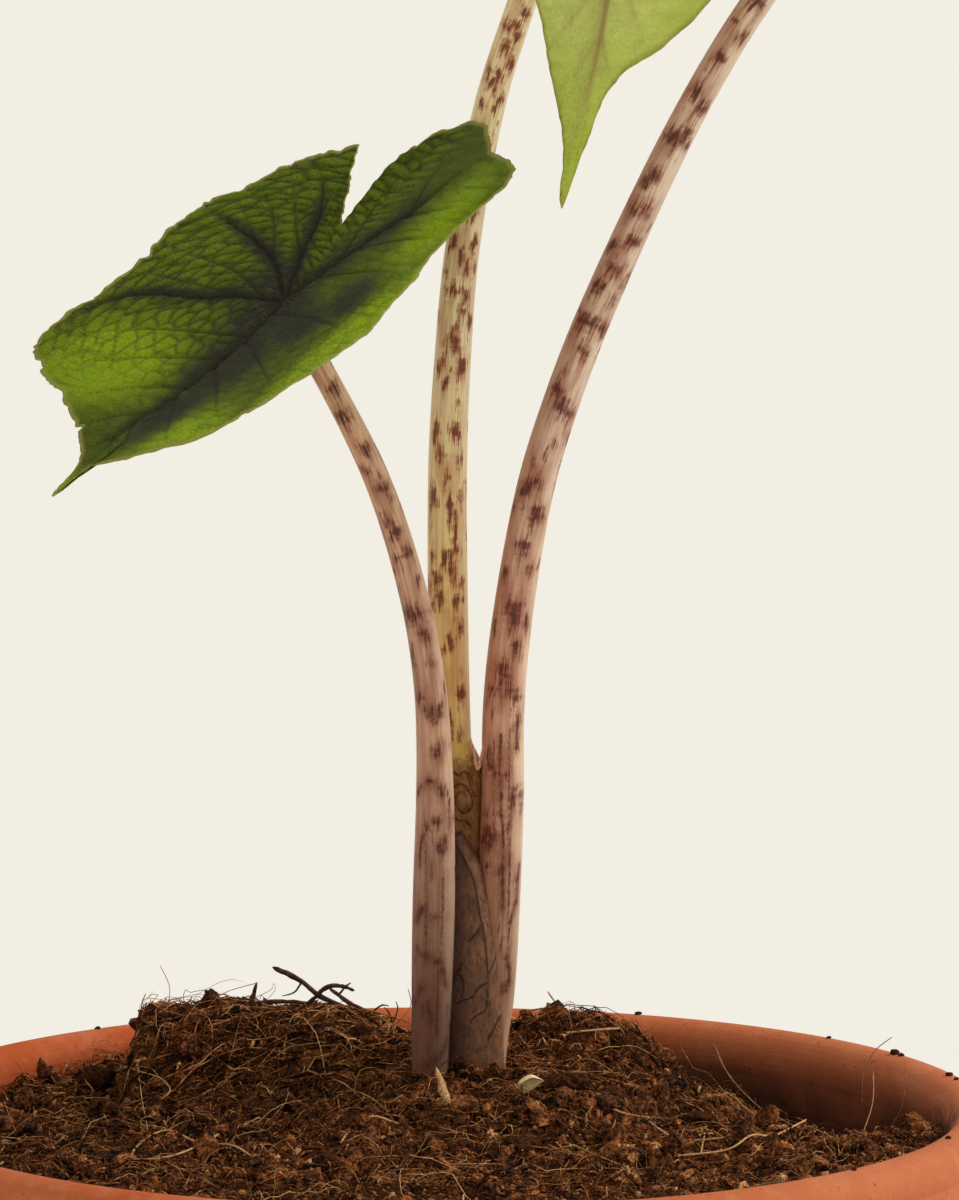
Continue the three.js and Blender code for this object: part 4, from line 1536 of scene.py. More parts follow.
@dataclass
class Blade:
    """A leaf blade, worked out flat as [across, along] from its joint and then bent."""

    name: str
    slot: str
    joint: Place
    along: Place
    across: Place
    curl: float
    back_curl: float
    fold: tuple[float, float]
    margins: Sequence[Line]
    veins: Sequence[Vein]
    side_veins: Sequence[Vein]
    finish: BladeFinish
    dusk_spots: Spots
    pale_and_lit_spots: Spots
    spacing: float = 0.62
    rings: int = 92
    under_rings: int = 28
    thickness: float = 0.42
    edge_thickness: float = 0.22
    quilt: float = 0.26
    cell: float = 2.6
    teeth: float = 0.25
    tears: float = 0.0
    calm_side: float = 0.0
    calm_spots: Spots = ()
    dusk_spread: float = 5.0
    minor_shade: float = 0.7
    sweep: float = 0.0
    seed: float = 1.0

    def axes(self) -> tuple[Array, Array, Array]:
        """The directions to the tip, to the side and up from the blade's face."""
        tip = unit(np.array(self.along))
        side = np.array(self.across)
        side = unit(side - tip * (side @ tip))
        return tip, side, np.cross(side, tip)

    def bent(self, across: Array, along: Array, height: Array) -> Array:
        """Bends the flat blade.

        Args:
            across, along: places in the flat blade.
            height: how far over its middle surface each one lies.

        Returns:
            The points of the bent blade.
        """
        tip, side, up = self.axes()
        across = across + self.sweep * np.sin(math.pi * np.clip(along / 60, 0, 1)) ** 0.8
        curl = np.where(along >= 0, self.curl, self.back_curl)
        turn = curl * np.abs(along)
        forward = np.sign(along) * np.sin(turn) / curl
        drop = (1 - np.cos(turn)) / curl
        fold = np.where(across >= 0, self.fold[0], self.fold[1])
        lift = np.abs(across) * np.sin(fold) + height
        forward = forward + np.sign(along) * np.sin(turn) * lift
        raised = np.cos(turn) * lift - drop
        return (
            np.array(self.joint) + forward[:, None] * tip + (across * np.cos(fold))[:, None] * side
            + raised[:, None] * up
        )

    def outline(self) -> Array:
        """The margin as evenly spread points, with small teeth."""
        parts = []
        for margin in self.margins:
            route = Route(margin, 2)
            length = route.lengths(np.array([1.0]))[0]
            count = max(3, round(length / self.spacing))
            parts.append(route.at(route.even(count + 1))[:-1])
        outline = np.vstack(parts)
        reached = np.arange(len(outline)) * self.spacing
        out = unit(outline)
        bite = np.abs(ripple(reached, reached * 0, 1.1, self.seed)) - 0.4
        bite = bite - self.tears * smooth(ripple(reached, reached * 0, 1.9, self.seed + 6), 0.55, 0.8)
        slow = ripple(reached, reached * 0, 5.0, self.seed + 3)
        size = self.teeth * (1 - 0.6 * self.calm_side * smooth(-outline[:, 0], 0, 6))
        size = size * (1 - 0.85 * smooth(outline[:, 1], 35, 41))
        return outline + out * (size * (bite + 1.3 * slow))[:, None]

    def field(self, places: Array, veins: Sequence[Vein], spread: float) -> Array:
        """How near each place is to a vein.

        Args:
            places: places in the flat blade.
            veins: the veins.
            spread: how far a vein reaches, in its own widths.

        Returns:
            1 on a vein, and less the further away a place is.
        """
        best = np.zeros(len(places))
        for vein in veins:
            route = Route(vein.points, 2)
            line = route.at(np.linspace(0, 1, 5 * len(vein.points)))
            away, part = distance_to_line(places, line)
            width = vein.width * spread * (1.15 - 0.75 * part)
            fading = vein.depth * (1 - 0.85 * part**3)
            best = np.maximum(best, fading * np.exp(-((away / width) ** 2)))
        return best

    def relief(self, places: Array) -> dict[str, Array]:
        """The blade's veins, its quilting and its colours.

        Args:
            places: places in the flat blade.

        Returns:
            The values by name.
        """
        s, t = places[:, 0], places[:, 1]
        main = self.field(places, self.veins, 1.0)
        minor = self.field(places, self.side_veins, 1.0)
        warp = 0.8 * ripple(s, t, 7, self.seed)
        away = np.hypot(s, t)
        round_joint = np.arctan2(s, t) * (0.45 * away + 6)
        walls = cell_walls(away + warp, round_joint - warp, self.cell, self.seed)
        calm = 1 - self.calm_side * smooth(-s, 0, 6)
        for x, y, wide, tall, strength in self.calm_spots:
            calm = calm * (1 - strength * hump(s, t, (x, y), (wide, tall)))
        shallow = 1 - smooth(np.maximum(main, minor), 0.1, 0.7)
        net = (1 - smooth(walls, 0.0, 0.2)) * shallow * calm
        pillow = smooth(walls, 0.0, 0.6) * (1 - smooth(main, 0.05, 0.8)) * (1 - 0.7 * minor) * calm
        dusk = 0.85 * self.field(places, self.veins, self.dusk_spread)
        # Paler patches, partly painted light where the blade is lit through from behind.
        bright = np.zeros(len(places))
        for layer, spots in ((dusk, self.dusk_spots), (bright, self.pale_and_lit_spots)):
            for x, y, wide, tall, strength in spots:
                np.maximum(layer, strength * hump(s, t, (x, y), (wide, tall)), out=layer)
        return {
            "vein": np.maximum(smooth(main, 0.4, 0.95), self.minor_shade * smooth(minor, 0.3, 0.95)),
            "net": net, "pillow": pillow, "dusk": dusk, "bright": bright,
            "main": main, "minor": minor,
        }

    def body(self) -> Mesh:
        """The blade's closed mesh: its underside, its margin and its upper side."""
        outline = self.outline()
        count = len(outline)
        rows = self.under_rings + self.rings + 1

        def place(column: Array, row: Array) -> Shape:
            """Rows run from the joint along the underside to the margin and back on top."""
            rim = outline[column % count]
            top = row > self.under_rings
            reach = np.where(
                top, 1 - (row - self.under_rings - 1) / self.rings, row / self.under_rings
            )
            reach = np.clip(reach, 0, 1)
            places = rim * reach[:, None]
            found = self.relief(places)
            waves = 0.22 * smooth(reach, 0.6, 1) * ripple(places[:, 0], places[:, 1], 6, self.seed)
            height = waves + self.quilt * (found["pillow"] - 0.5)
            height = height - 0.5 * found["main"] - 0.22 * found["minor"]
            thick = self.thickness + (self.edge_thickness - self.thickness) * reach**3
            below = thick + 0.75 * found["main"] + 0.25 * found["minor"] + 0.06 * found["net"]
            below = below + 0.9 * hump(places[:, 0], places[:, 1], (0, 0), (2.4, 2.4))
            height = np.where(top, height + thick / 2, height + thick / 2 - below)
            points = self.bent(places[:, 0], places[:, 1], height)
            values = {key: found[key] for key in ("vein", "net", "pillow", "dusk", "bright")}
            values["top"] = top.astype(float)
            values["reach"] = reach
            values["flat"] = np.column_stack([places, np.zeros(len(places))])
            return Shape(points, values)

        return bent_grid(self.name, count, rows, place)

    def build(self) -> None:
        """Makes the blade."""
        add_piece(self.name, self.body(), self.finish.material(), [self.name])


def mirrored(points: Line) -> list[tuple[float, float]]:
    """The same line on the blade's other half, run the other way."""
    return [(-across, along) for across, along in reversed(points)]


def paired_margins(scale: float) -> list[list[tuple[float, float]]]:
    """The margins of a blade whose two halves are alike."""
    half = [
        (0, 60), (1.4, 53), (2.9, 49), (4.6, 45.5), (7, 42), (11.3, 34), (16.5, 26), (21.5, 17),
        (24.5, 8), (25.5, -1), (24.8, -10), (22.5, -18), (18.5, -25.5), (13, -31),
    ]
    notch = [(13, -31), (7, -22), (3, -16), (0, -12)]
    outer = [(x * scale, y * scale) for x, y in half]
    inner = [(x * scale, y * scale) for x, y in notch]
    return [outer, inner, mirrored(inner), mirrored(outer)]


def paired_veins(scale: float) -> tuple[list[Vein], list[Vein]]:
    """The main and the side veins of a blade whose two halves are alike."""
    lobes = [((0, 0), (4.5, -8), (9, -17), (12, -26)), ((0, 0), (9, 0.5), (17, 2.5), (24, 6))]
    sides = [
        ((0, 9), (7, 13), (13, 19), (17.5, 24)), ((0, 19), (5, 23.5), (9.5, 30), (12, 33)),
        ((0, 28), (3.6, 33), (7, 39), (8, 41)), ((0, 37), (2.2, 41.5), (4.4, 45)),
        ((5, -8.8), (12, -10), (20, -12), (24, -13)), ((8, -15), (14, -18.5), (20, -22)),
        ((2, -3.5), (12, -5), (20, -5), (25, -4.5)), ((9, 0.6), (15, 8), (21, 14)),
        ((6, 0.4), (12, 8), (18.5, 19.5)), ((0, 4.5), (8, 9), (14.5, 15), (20, 21)),
    ]
    main = [Vein(((0, 0), (0, 20 * scale), (0, 42 * scale), (0, 59 * scale)), 0.95)]
    minor = []
    for group, made, width in ((lobes, main, 0.75), (sides, minor, 0.42)):
        for line in group:
            for flip in (1, -1):
                points = tuple((flip * x * scale, y * scale) for x, y in line)
                made.append(Vein(points, width))
    return main, minor


CENTRE_MARGINS = [
    [(-0.75, 60), (0.1, 58.8), (1.2, 54), (2.5, 50), (4.1, 46.5), (6.1, 42), (9.4, 34), (14.1, 26),
     (19.2, 17), (23.5, 8), (25.5, -1), (24.8, -10), (22.5, -18), (18.5, -25.5), (13, -31)],
    [(13, -31), (7, -22), (3, -16), (0, -12)],
    [(0, -12), (-3, -16), (-7, -22), (-13, -31)],
    [(-13, -31), (-18.5, -25.5), (-22.5, -18), (-24.8, -10), (-25.5, -1), (-25, 8), (-23.4, 17),
     (-20.4, 26), (-15.4, 34), (-10.2, 39.2), (-4.9, 42.4), (-2.6, 46), (-1.7, 51),
     (-1.0, 55), (-0.8, 58.8), (-0.75, 60)],
]
LEFT_MARGINS = [
    [(-4.5, 47.5), (2, 37), (15, 28.5), (28.5, 21.5), (30.5, 14.5), (29, 5.5), (29.5, -3),
     (29, -11), (23.5, -19.5), (19, -25.5), (13, -29.5)],
    [(13, -29.5), (7, -20.5), (3, -15)],
    [(3, -15), (4.2, -21.5), (4.9, -27), (4.1, -31.5), (2.0, -35), (-1.6, -37.4), (-6.8, -37.6)],
    [(-6.8, -37.6), (-9.6, -34.8), (-12.2, -32.2)],
    [(-12.2, -32.2), (-16.6, -31.4), (-21.4, -29.2)],
    [(-21.4, -29.2), (-22.2, -25.5), (-21.4, -20.5), (-20.9, -16), (-21.7, -11.5), (-24, -1),
     (-25.5, 6), (-24, 13.5), (-18, 31), (-8, 37), (-3, 40), (-4.5, 47.5)],
]
LEFT_VEINS = [
    (0.7, (0, 0), (-1.4, 7.9), (-1.6, 14.8), (-1.2, 23.2), (0.2, 29.5), (-1.7, 39.4), (-4.4, 46.5)),
    (0.55, (0, 0), (7.2, 1.4), (13.2, 3.6), (21.6, 5.5), (26.5, 8.8), (28.5, 14.5), (27, 20)),
    (0.5, (0, 0), (8.7, -6.6), (17, -9.6), (23, -11.2), (27.5, -12.3)),
    (0.5, (0, 0), (4.8, -8.5), (7.9, -15.2), (12.1, -20.9), (16.3, -24.7)),
    (0.65, (0, 0), (-2.2, -7), (-5.6, -15.4), (-8, -19.5), (-9.6, -25.2), (-12, -30)),
]
LEFT_SIDE_VEINS = [
    (0.42, (-1.4, 8), (6, 9.5), (14, 11.5), (22, 15), (26, 18)),
    (0.42, (-1.6, 13), (5, 15), (13, 18), (20, 22), (22, 24.5)),
    (0.38, (-1.3, 20), (5, 22), (11, 25.5), (14, 28)),
    (0.36, (-0.8, 26), (3, 28), (7, 31.5), (8.5, 32.5)), (0.34, (0, 32), (1.5, 34.5), (2.2, 36.5)),
    (0.45, (-0.6, 3), (-9, 3.5), (-17, 5), (-24, 8)),
    (0.42, (-1.5, 9), (-9, 13), (-16, 17), (-22, 20.5)),
    (0.42, (-1.6, 15), (-8, 20), (-14, 25), (-19, 28)),
    (0.38, (-1.2, 22), (-6, 27), (-11, 32), (-14, 34)), (0.36, (0, 29), (-3, 33), (-6, 37)),
    (0.42, (-1.5, -5), (-9, -6.5), (-17, -7), (-22, -6)),
    (0.4, (-4, -11.5), (-11, -13.5), (-17, -14.5), (-20, -14)),
    (0.38, (-7.4, -18.5), (-13, -20), (-18, -21)), (0.36, (-3, -9), (0, -17), (1.5, -24), (0, -30)),
    (0.34, (-8, -19.5), (-5, -26), (-4, -32)), (0.42, (3, 0.6), (12, -2.5), (21, -3.2), (28, -3)),
    (0.38, (7.2, 1.4), (15, 1.6), (23, 2), (28.5, 3)),
    (0.4, (8.7, -6.6), (14, -12.5), (20, -17), (24, -19)), (0.36, (13, -8), (19, -11.8), (25.5, -16)),
    (0.38, (4.8, -8.5), (9.5, -12.5), (15, -18), (20.5, -23)),
    (0.34, (7.9, -15.2), (9.5, -20), (12.5, -26)), (0.36, (13.2, 3.6), (19, 9), (24.5, 13.5)),
]

LEFT_MARKS = [
    (248, 0.3, 0.8, 1.2), (244, -0.6, 0.7, 0.8), (240, 0.6, 0.6, 0.9),
    (236, -0.2, 0.7, 1.0), (231.5, 0.5, 0.7, 0.8), (229, -0.9, 0.6, 0.6),
    (225.8, 0.5, 0.8, 1.1), (222, -0.7, 0.6, 0.6), (219.9, -0.1, 0.7, 0.8),
    (216.8, 0.7, 0.9, 0.8), (216.4, -0.8, 0.7, 0.6), (213, 1.2, 0.6, 0.4),
    (208.7, -0.8, 1.2, 1.4), (205.9, 0.3, 0.8, 0.8), (203.4, -1.7, 1.0, 0.5),
    (201.9, 0.8, 0.7, 0.7, 0.7), (197.1, -1.5, 0.9, 0.7), (195.1, 0.5, 0.8, 0.9),
    (190.2, 0.9, 0.8, 0.6, 0.7),
]
LEFT_STROKES = [
    (0.3, 1.0, [(195.2, -1.0), (194.2, -0.2), (193.8, 0.4), (194.4, 1.1)]),
    (0.2, 0.9, [(189.9, 0.6), (188.6, 0.7), (189.1, 0.1)]),
    (0.28, 0.95, [(183.4, -2.4), (184.6, -1.9), (185.4, -1.0), (185.1, -0.1), (184.4, 0.8),
                  (183.2, 1.0)]),
    (0.16, 0.8, [(184.4, 1.4), (183, 1.9), (180.9, 1.9), (178.4, 2.0)]),
    (0.32, 1.0, [(179, -1.2), (179.6, -0.35), (180.1, 0.5)]),
    (0.22, 0.85, [(177.7, -1.6), (176.3, -1.9), (174.2, -2.1), (173.3, -1.9)]),
    (0.34, 0.95, [(176, 1.6), (175.3, 0.9), (176.3, 0.6), (177.4, 1.5)]),
    (0.15, 0.75, [(173.8, -0.4), (171.8, -0.4)]),
    (0.3, 0.95, [(167.5, -1.6), (166.4, -2.0), (165.7, -2.3)]),
    (0.22, 0.7, [(166.1, -0.4), (166.2, 1.0), (166, 1.9)]),
    (0.24, 0.85, [(161.7, -2.2), (161.1, -1.4), (160.3, 0), (159.7, 1.2), (158.3, 1.5), (156.7, 1.9)]),
    (0.22, 0.85, [(154.4, -2.3), (155.7, -1.9), (156.5, -1.3)]),
    (0.18, 0.75, [(154.4, -0.6), (152.7, -0.2), (151.6, 0)]),
    (0.22, 0.85, [(145.6, -0.7), (146.3, 0.7), (147.4, 1.7), (148.8, 2.2)]),
    (0.13, 0.7, [(172, 1.2), (166, 1.3), (158, 0.9), (150, 0.8)]),
    (0.12, 0.65, [(181, -1.4), (174, -1.2), (168, -1.0), (160, -0.9)]),
]
CENTRE_MARKS = [
    (296, 0.3, 0.9, 0.9), (292, -0.8, 0.7, 0.7), (289.5, 0.8, 0.7, 0.7),
    (287.3, -0.4, 0.8, 1.4), (286.5, 0.9, 0.8, 0.7), (284.4, 0.0, 0.8, 0.8),
    (282.7, 1.1, 0.8, 0.6), (280.5, -1.3, 0.8, 0.6), (281.1, -0.2, 0.7, 0.5),
    (279.2, -0.6, 0.8, 0.7), (277.4, 1.2, 0.7, 0.6), (276.6, -1.2, 0.8, 0.6),
    (276.4, 0.6, 0.6, 0.4), (272.5, -0.5, 0.8, 0.9), (269, 0.9, 0.8, 0.8),
    (265.5, -0.9, 0.8, 0.7), (262, 0.4, 0.8, 1.0),
    (257.7, -1.4, 0.9, 0.7), (258.3, 1.5, 0.8, 0.5), (256.0, 0.0, 1.4, 0.4),
    (254.4, 0.8, 0.9, 0.4), (254.5, 1.9, 0.8, 0.4), (253.9, -1.9, 0.8, 0.5),
    (251.6, -0.4, 0.8, 1.6), (250.7, 1.3, 0.9, 0.6), (248.4, 0.7, 1.3, 0.5),
    (247.4, 2.0, 0.9, 0.4), (246.1, -0.3, 0.8, 0.6), (244.5, -0.3, 1.6, 1.0),
    (241.9, -1.3, 0.9, 0.6), (240.7, -1.9, 0.9, 0.5), (241.1, 1.4, 1.6, 0.7),
    (238.5, -0.7, 1.0, 0.5), (236, 1.0, 1.0, 0.4, 0.7), (232.1, -1.7, 1.3, 0.6),
    (232.5, 0.8, 1.0, 0.7), (231.5, 1.5, 1.0, 0.4), (229.1, -1.0, 1.0, 0.6),
    (228.3, 1.7, 1.2, 0.5), (225.7, -0.2, 1.6, 0.4), (222.4, 0.3, 1.6, 0.35),
    (223.3, -1.7, 1.4, 0.9), (223.2, 1.8, 1.0, 0.5), (219.5, 1.0, 2.4, 0.35),
    (214.8, -2.1, 1.2, 0.5), (215.3, 0.3, 0.8, 0.6), (216.1, 1.4, 0.8, 0.5),
    (214.4, -0.4, 1.2, 0.5), (212.8, 0.7, 1.5, 0.5), (212.3, -1.5, 0.9, 0.6),
    (211.6, 2.0, 0.9, 0.5), (209.4, -0.9, 1.0, 0.6), (209.1, 1.1, 1.0, 0.5),
    (208.0, -2.1, 1.0, 0.5), (205.2, 1.6, 1.3, 0.6), (203.4, 0.3, 1.2, 0.4),
    (202.1, -1.0, 0.8, 0.8), (199, 1.6, 1.0, 0.4, 0.7), (196.1, 1.6, 1.3, 0.7),
    (192.6, -0.1, 2.0, 0.3), (190.5, 1.2, 0.9, 0.5, 0.7),
]
RIGHT_MARKS = [
    (302, 0.0, 0.9, 1.2), (297, 0.7, 0.8, 0.8), (293.5, -0.8, 0.7, 0.7),
    (290.4, 0.0, 0.8, 0.9), (286.1, 0.8, 0.7, 0.7), (287.2, -1.2, 0.7, 0.6),
    (283.0, -0.2, 0.8, 0.8), (278.3, -0.8, 1.0, 0.9), (276.9, 1.0, 0.8, 0.7),
    (272.3, -0.4, 1.2, 1.2), (273.5, 0.9, 0.8, 0.6), (271.8, 1.4, 0.7, 0.6),
    (267.4, -0.8, 0.9, 0.8), (266.0, -1.4, 0.8, 0.6), (264, 0.9, 0.7, 0.5, 0.7),
    (262.3, -0.8, 0.9, 1.2), (257.4, -1.4, 0.9, 0.7), (258.6, 0.6, 0.9, 0.8),
    (254.5, -0.3, 0.8, 0.9), (251.8, -1.3, 0.9, 0.7), (251, 1.2, 0.7, 0.6, 0.7),
    (247.5, -1.5, 1.0, 0.9), (247.2, 0.1, 0.8, 1.0), (247.1, 1.7, 0.8, 0.9),
    (243.6, 0.3, 0.9, 0.8), (240, -1.2, 0.7, 0.6, 0.7), (237.6, -1.3, 1.1, 0.8),
    (236.2, 0.2, 0.9, 1.0), (235.5, 1.5, 0.9, 0.8), (231, 0.6, 0.9, 0.4, 0.6),
    (228, -1.4, 0.8, 0.5, 0.7), (225.4, -0.6, 1.1, 0.9), (223.9, -1.5, 1.1, 0.8),
    (221.1, 1.0, 1.1, 0.8), (216.9, -0.3, 1.1, 0.8), (212.9, -1.8, 1.1, 0.6),
    (213.5, 1.5, 1.1, 0.6, 0.7), (208.2, -0.1, 1.6, 1.2), (205.6, -2.2, 1.0, 0.5),
    (206.4, 2.0, 0.9, 0.6), (203.1, 1.1, 0.9, 0.7), (199.7, -0.4, 1.5, 1.1),
    (196.3, -1.8, 0.9, 0.7), (196.8, 0.8, 1.0, 1.0), (192.9, 2.0, 1.0, 0.5),
]
RIGHT_STROKES = [
    (0.17, 0.95, [(190.9, -0.3), (186.9, -0.4), (183.4, -0.3), (180.2, -0.1), (176.7, 0.2),
                  (173.8, 0.4), (170.3, 0.4), (166.8, 0.6)]),
    (0.28, 0.9, [(187.9, -2.1), (184.8, -1.0), (184.8, 0), (185.7, 1.1)]),
    (0.4, 0.8, [(188.5, -1.8), (186.5, -1.5), (185.5, -2.2)]),
    (0.32, 0.75, [(192.9, 2.1), (191.5, 2.0), (188.7, 1.9)]),
    (0.4, 0.75, [(183.4, 1.7), (181.6, 1.4), (180.2, 1.1)]),
    (0.25, 0.7, [(179.8, -2.6), (180.2, -1.9), (179.8, -0.5)]),
    (0.5, 0.9, [(176, -2.5), (177.4, -1.9), (176.7, -0.9), (175.2, -1.8)]),
    (0.3, 0.95, [(171.9, -0.4), (172.4, 0.2), (171.4, 0)]),
    (0.28, 0.75, [(172.4, 2.6), (170.3, 2.5), (167.5, 2.4), (166.8, 2.1), (164.7, 1.6)]),
    (0.22, 0.75, [(160.1, 1.3), (158, 1.8), (156.2, 1.8)]),
    (0.13, 0.7, [(192, 0.9), (182, 0.8), (172, 1.3), (160, 1.6)]),
    (0.12, 0.65, [(190, -1.2), (182, -1.3), (176, -0.9)]),
]


@dataclass
class Plant:
    """The alocasia: three petioles, two sheaths and three blades."""

    foot: float = 121.8

    def left_blade(self) -> Blade:
        """The large dark blade whose upper side faces the front."""
        finish = BladeFinish(
            "leaf_dark", green=tint(98, 112, 12), bright=tint(168, 198, 6), dusk=tint(50, 44, 42),
            vein=tint(46, 34, 34), net=tint(40, 42, 8), beneath=tint(150, 165, 90),
        )
        return Blade(
            "leaf_blade_left", "dark_leaf", joint=(-19.85, -14, 251.3),
            along=(-0.65, -0.516, -0.558), across=(-0.642, 0.765, 0.041),
            curl=-0.003, back_curl=-0.003, fold=(0.12, 0.09), margins=LEFT_MARGINS,
            veins=[Vein(line, width) for width, *line in LEFT_VEINS],
            side_veins=[Vein(line, width) for width, *line in LEFT_SIDE_VEINS], finish=finish,
            dusk_spots=[(-1, 3, 9, 9, 1.0), (-4, 14, 9, 12, 1.0), (-5, 26, 6.5, 10, 0.9),
                        (-9, 6, 7, 7, 0.9), (4, -3, 7, 7, 0.8), (-3, -9, 5, 9, 0.8),
                        (-7, -18, 4, 9, 0.7), (-14, -1, 6, 8, 0.8)], calm_side=0.55, teeth=0.5,
            tears=1.3, calm_spots=[(14, 27, 14, 9, 0.85), (2, 38, 8, 8, 0.8)],
            pale_and_lit_spots=[(15, 20, 12, 9, 1.0), (-17, -18, 6, 14, 0.7), (-23, 8, 4, 20, 1.0),
                          (-14, 32, 8, 8, 0.9), (-4, 45, 5, 5, 0.9), (22, -4, 7, 8, 0.15)],
        )

    def centre_blade(self) -> Blade:
        """The pale young blade that hangs its tip to the front."""
        finish = BladeFinish(
            "leaf_pale", green=tint(196, 216, 84), bright=tint(244, 246, 162), dusk=tint(206, 198, 130),
            vein=tint(170, 130, 108), net=tint(196, 210, 104), beneath=tint(220, 226, 156),
            glow=0.55, net_strength=0.2,
        )
        main, minor = paired_veins(1)
        return Blade(
            "leaf_blade_centre", "pale_leaf", joint=(26, -22, 318), along=(-0.265, -0.69, -0.674),
            across=(-0.933, 0.359, 0), curl=0.012, back_curl=0.006, fold=(0.2, 0.2),
            margins=CENTRE_MARGINS, veins=main, side_veins=minor, finish=finish,
            dusk_spots=[(0, 2, 4, 5, 0.5)], pale_and_lit_spots=[(0, 22, 16, 22, 0.9)],
            spacing=0.7, rings=66, under_rings=16, teeth=0.1, sweep=-4.5, dusk_spread=2.0,
            minor_shade=0.25, seed=4.0,
        )

    def right_blade(self) -> Blade:
        """The dark blade at the right."""
        finish = BladeFinish(
            "leaf_right", green=tint(98, 112, 12), bright=tint(160, 190, 8), dusk=tint(56, 44, 36),
            vein=tint(48, 34, 32), net=tint(40, 42, 8), beneath=tint(150, 165, 90),
        )
        main, minor = paired_veins(1.05)
        return Blade(
            "leaf_blade_right", "dark_leaf", joint=(78, 5, 316.5), along=(0.75, -0.35, -0.56),
            across=(-0.423, -0.906, 0), curl=0.008, back_curl=0.004, fold=(0.16, 0.16),
            margins=paired_margins(1.05), veins=main, side_veins=minor, finish=finish,
            dusk_spots=[(0, 3, 8, 8, 0.95), (0, 18, 6, 14, 0.85)],
            pale_and_lit_spots=[(13, 12, 8, 14, 0.8), (-13, 12, 8, 14, 0.8), (0, 44, 8, 10, 0.6)],
            spacing=0.7, rings=70, under_rings=16, teeth=0.25, seed=9.0,
        )

    def petioles(self, blades: Sequence[Blade]) -> list[Petiole]:
        """The three leaf stalks, each up to its own blade."""
        foot = self.foot
        left = [
            [-0.3, -1.2, foot, 2.3], [-0.3, -1.6, 146, 2.5], [-0.1, -1.8, 155, 2.8],
            [0.2, -2.1, 169, 2.95], [0.4, -3.2, 182, 2.6], [0.2, -4.2, 191, 2.35],
            [-0.4, -5.0, 199, 2.15], [-2.3, -6.7, 210, 1.95], [-7.1, -9.3, 226, 1.8],
            [-15.0, -12.8, 242.4, 1.55], [-20.6, -14.4, 252.2, 1.7],
        ]
        centre = [
            [3.2, 4.4, foot, 2.5], [3.2, 4.4, 146, 2.6], [3.1, 4.5, 181, 2.7], [2.5, 4.6, 192, 2.75],
            [2.1, 4.6, 210, 2.75], [2.1, 4.7, 228, 2.65], [2.7, 4.8, 241, 2.5], [4.2, 4.9, 257.5, 2.35],
            [8.0, 5.0, 277, 2.1], [12.2, 4.1, 290.3, 1.95], [16.0, 1.4, 301, 1.85],
            [20.0, -5.0, 310.5, 1.8], [23.5, -13.0, 316.2, 1.7], [26.2, -22.6, 318.8, 1.8],
        ]
        right = [
            [7.5, 1.8, foot, 2.3], [7.7, 2.0, 146, 2.4], [8.5, 2.1, 154, 2.75], [9.1, 2.1, 168, 3.0],
            [9.6, 2.1, 182, 2.9], [9.8, 2.1, 195, 2.85], [11.2, 2.1, 208.5, 2.7], [14.2, 2.1, 225, 2.55],
            [17.2, 2.1, 235, 2.5], [22.1, 2.1, 248, 2.45], [34.2, 2.1, 274, 2.15],
            [43.8, 2.1, 290.3, 2.0], [52, 2.4, 300.6, 1.9], [61, 3, 309.4, 1.8],
            [70, 4, 315.2, 1.75], [79.5, 5, 318.4, 1.8],
        ]
        mauve = PetioleFinish(
            "petiole_mauve", foot=tint(92, 60, 44), middle=tint(228, 176, 142),
            top=tint(240, 188, 140), blotch=tint(82, 36, 20), halo=tint(150, 84, 60), stain=0.6,
            foot_height=140, middle_height=195,
        )
        cream = PetioleFinish(
            "petiole_cream", foot=tint(206, 162, 78), middle=tint(246, 212, 126),
            top=tint(255, 238, 186), blotch=tint(112, 38, 18), halo=tint(188, 108, 60), comb=1.7,
            stain=0.2,
        )
        pink = PetioleFinish(
            "petiole_pink", foot=tint(170, 122, 88), middle=tint(246, 196, 158),
            top=tint(255, 226, 198), blotch=tint(84, 29, 16), halo=tint(162, 86, 60), comb=1.5,
            stain=0.65, painted_side_shade=0.8, painted_side_light=0.85,
            foot_height=140, middle_height=200,
        )
        rows = [
            ("left", "mauve", left, mauve, LEFT_MARKS, 31, (0.68, 1.08), 0.4, LEFT_STROKES),
            ("centre", "cream", centre, cream, CENTRE_MARKS, 32, (0.65, 1.02), 0.6, (), 88, 0.62),
            ("right", "pink", right, pink, RIGHT_MARKS, 33, (0.71, 1.24), 0.4, RIGHT_STROKES),
        ]
        made = []
        for (side, shade, controls, finish, *marking), blade in zip(rows, blades):
            up = tuple(blade.axes()[2])
            names = (f"petiole_{side}", f"{side}_petiole", f"{shade}_petiole")
            made.append(Petiole(*names, controls, blade.joint, up, finish, *marking))
        return made

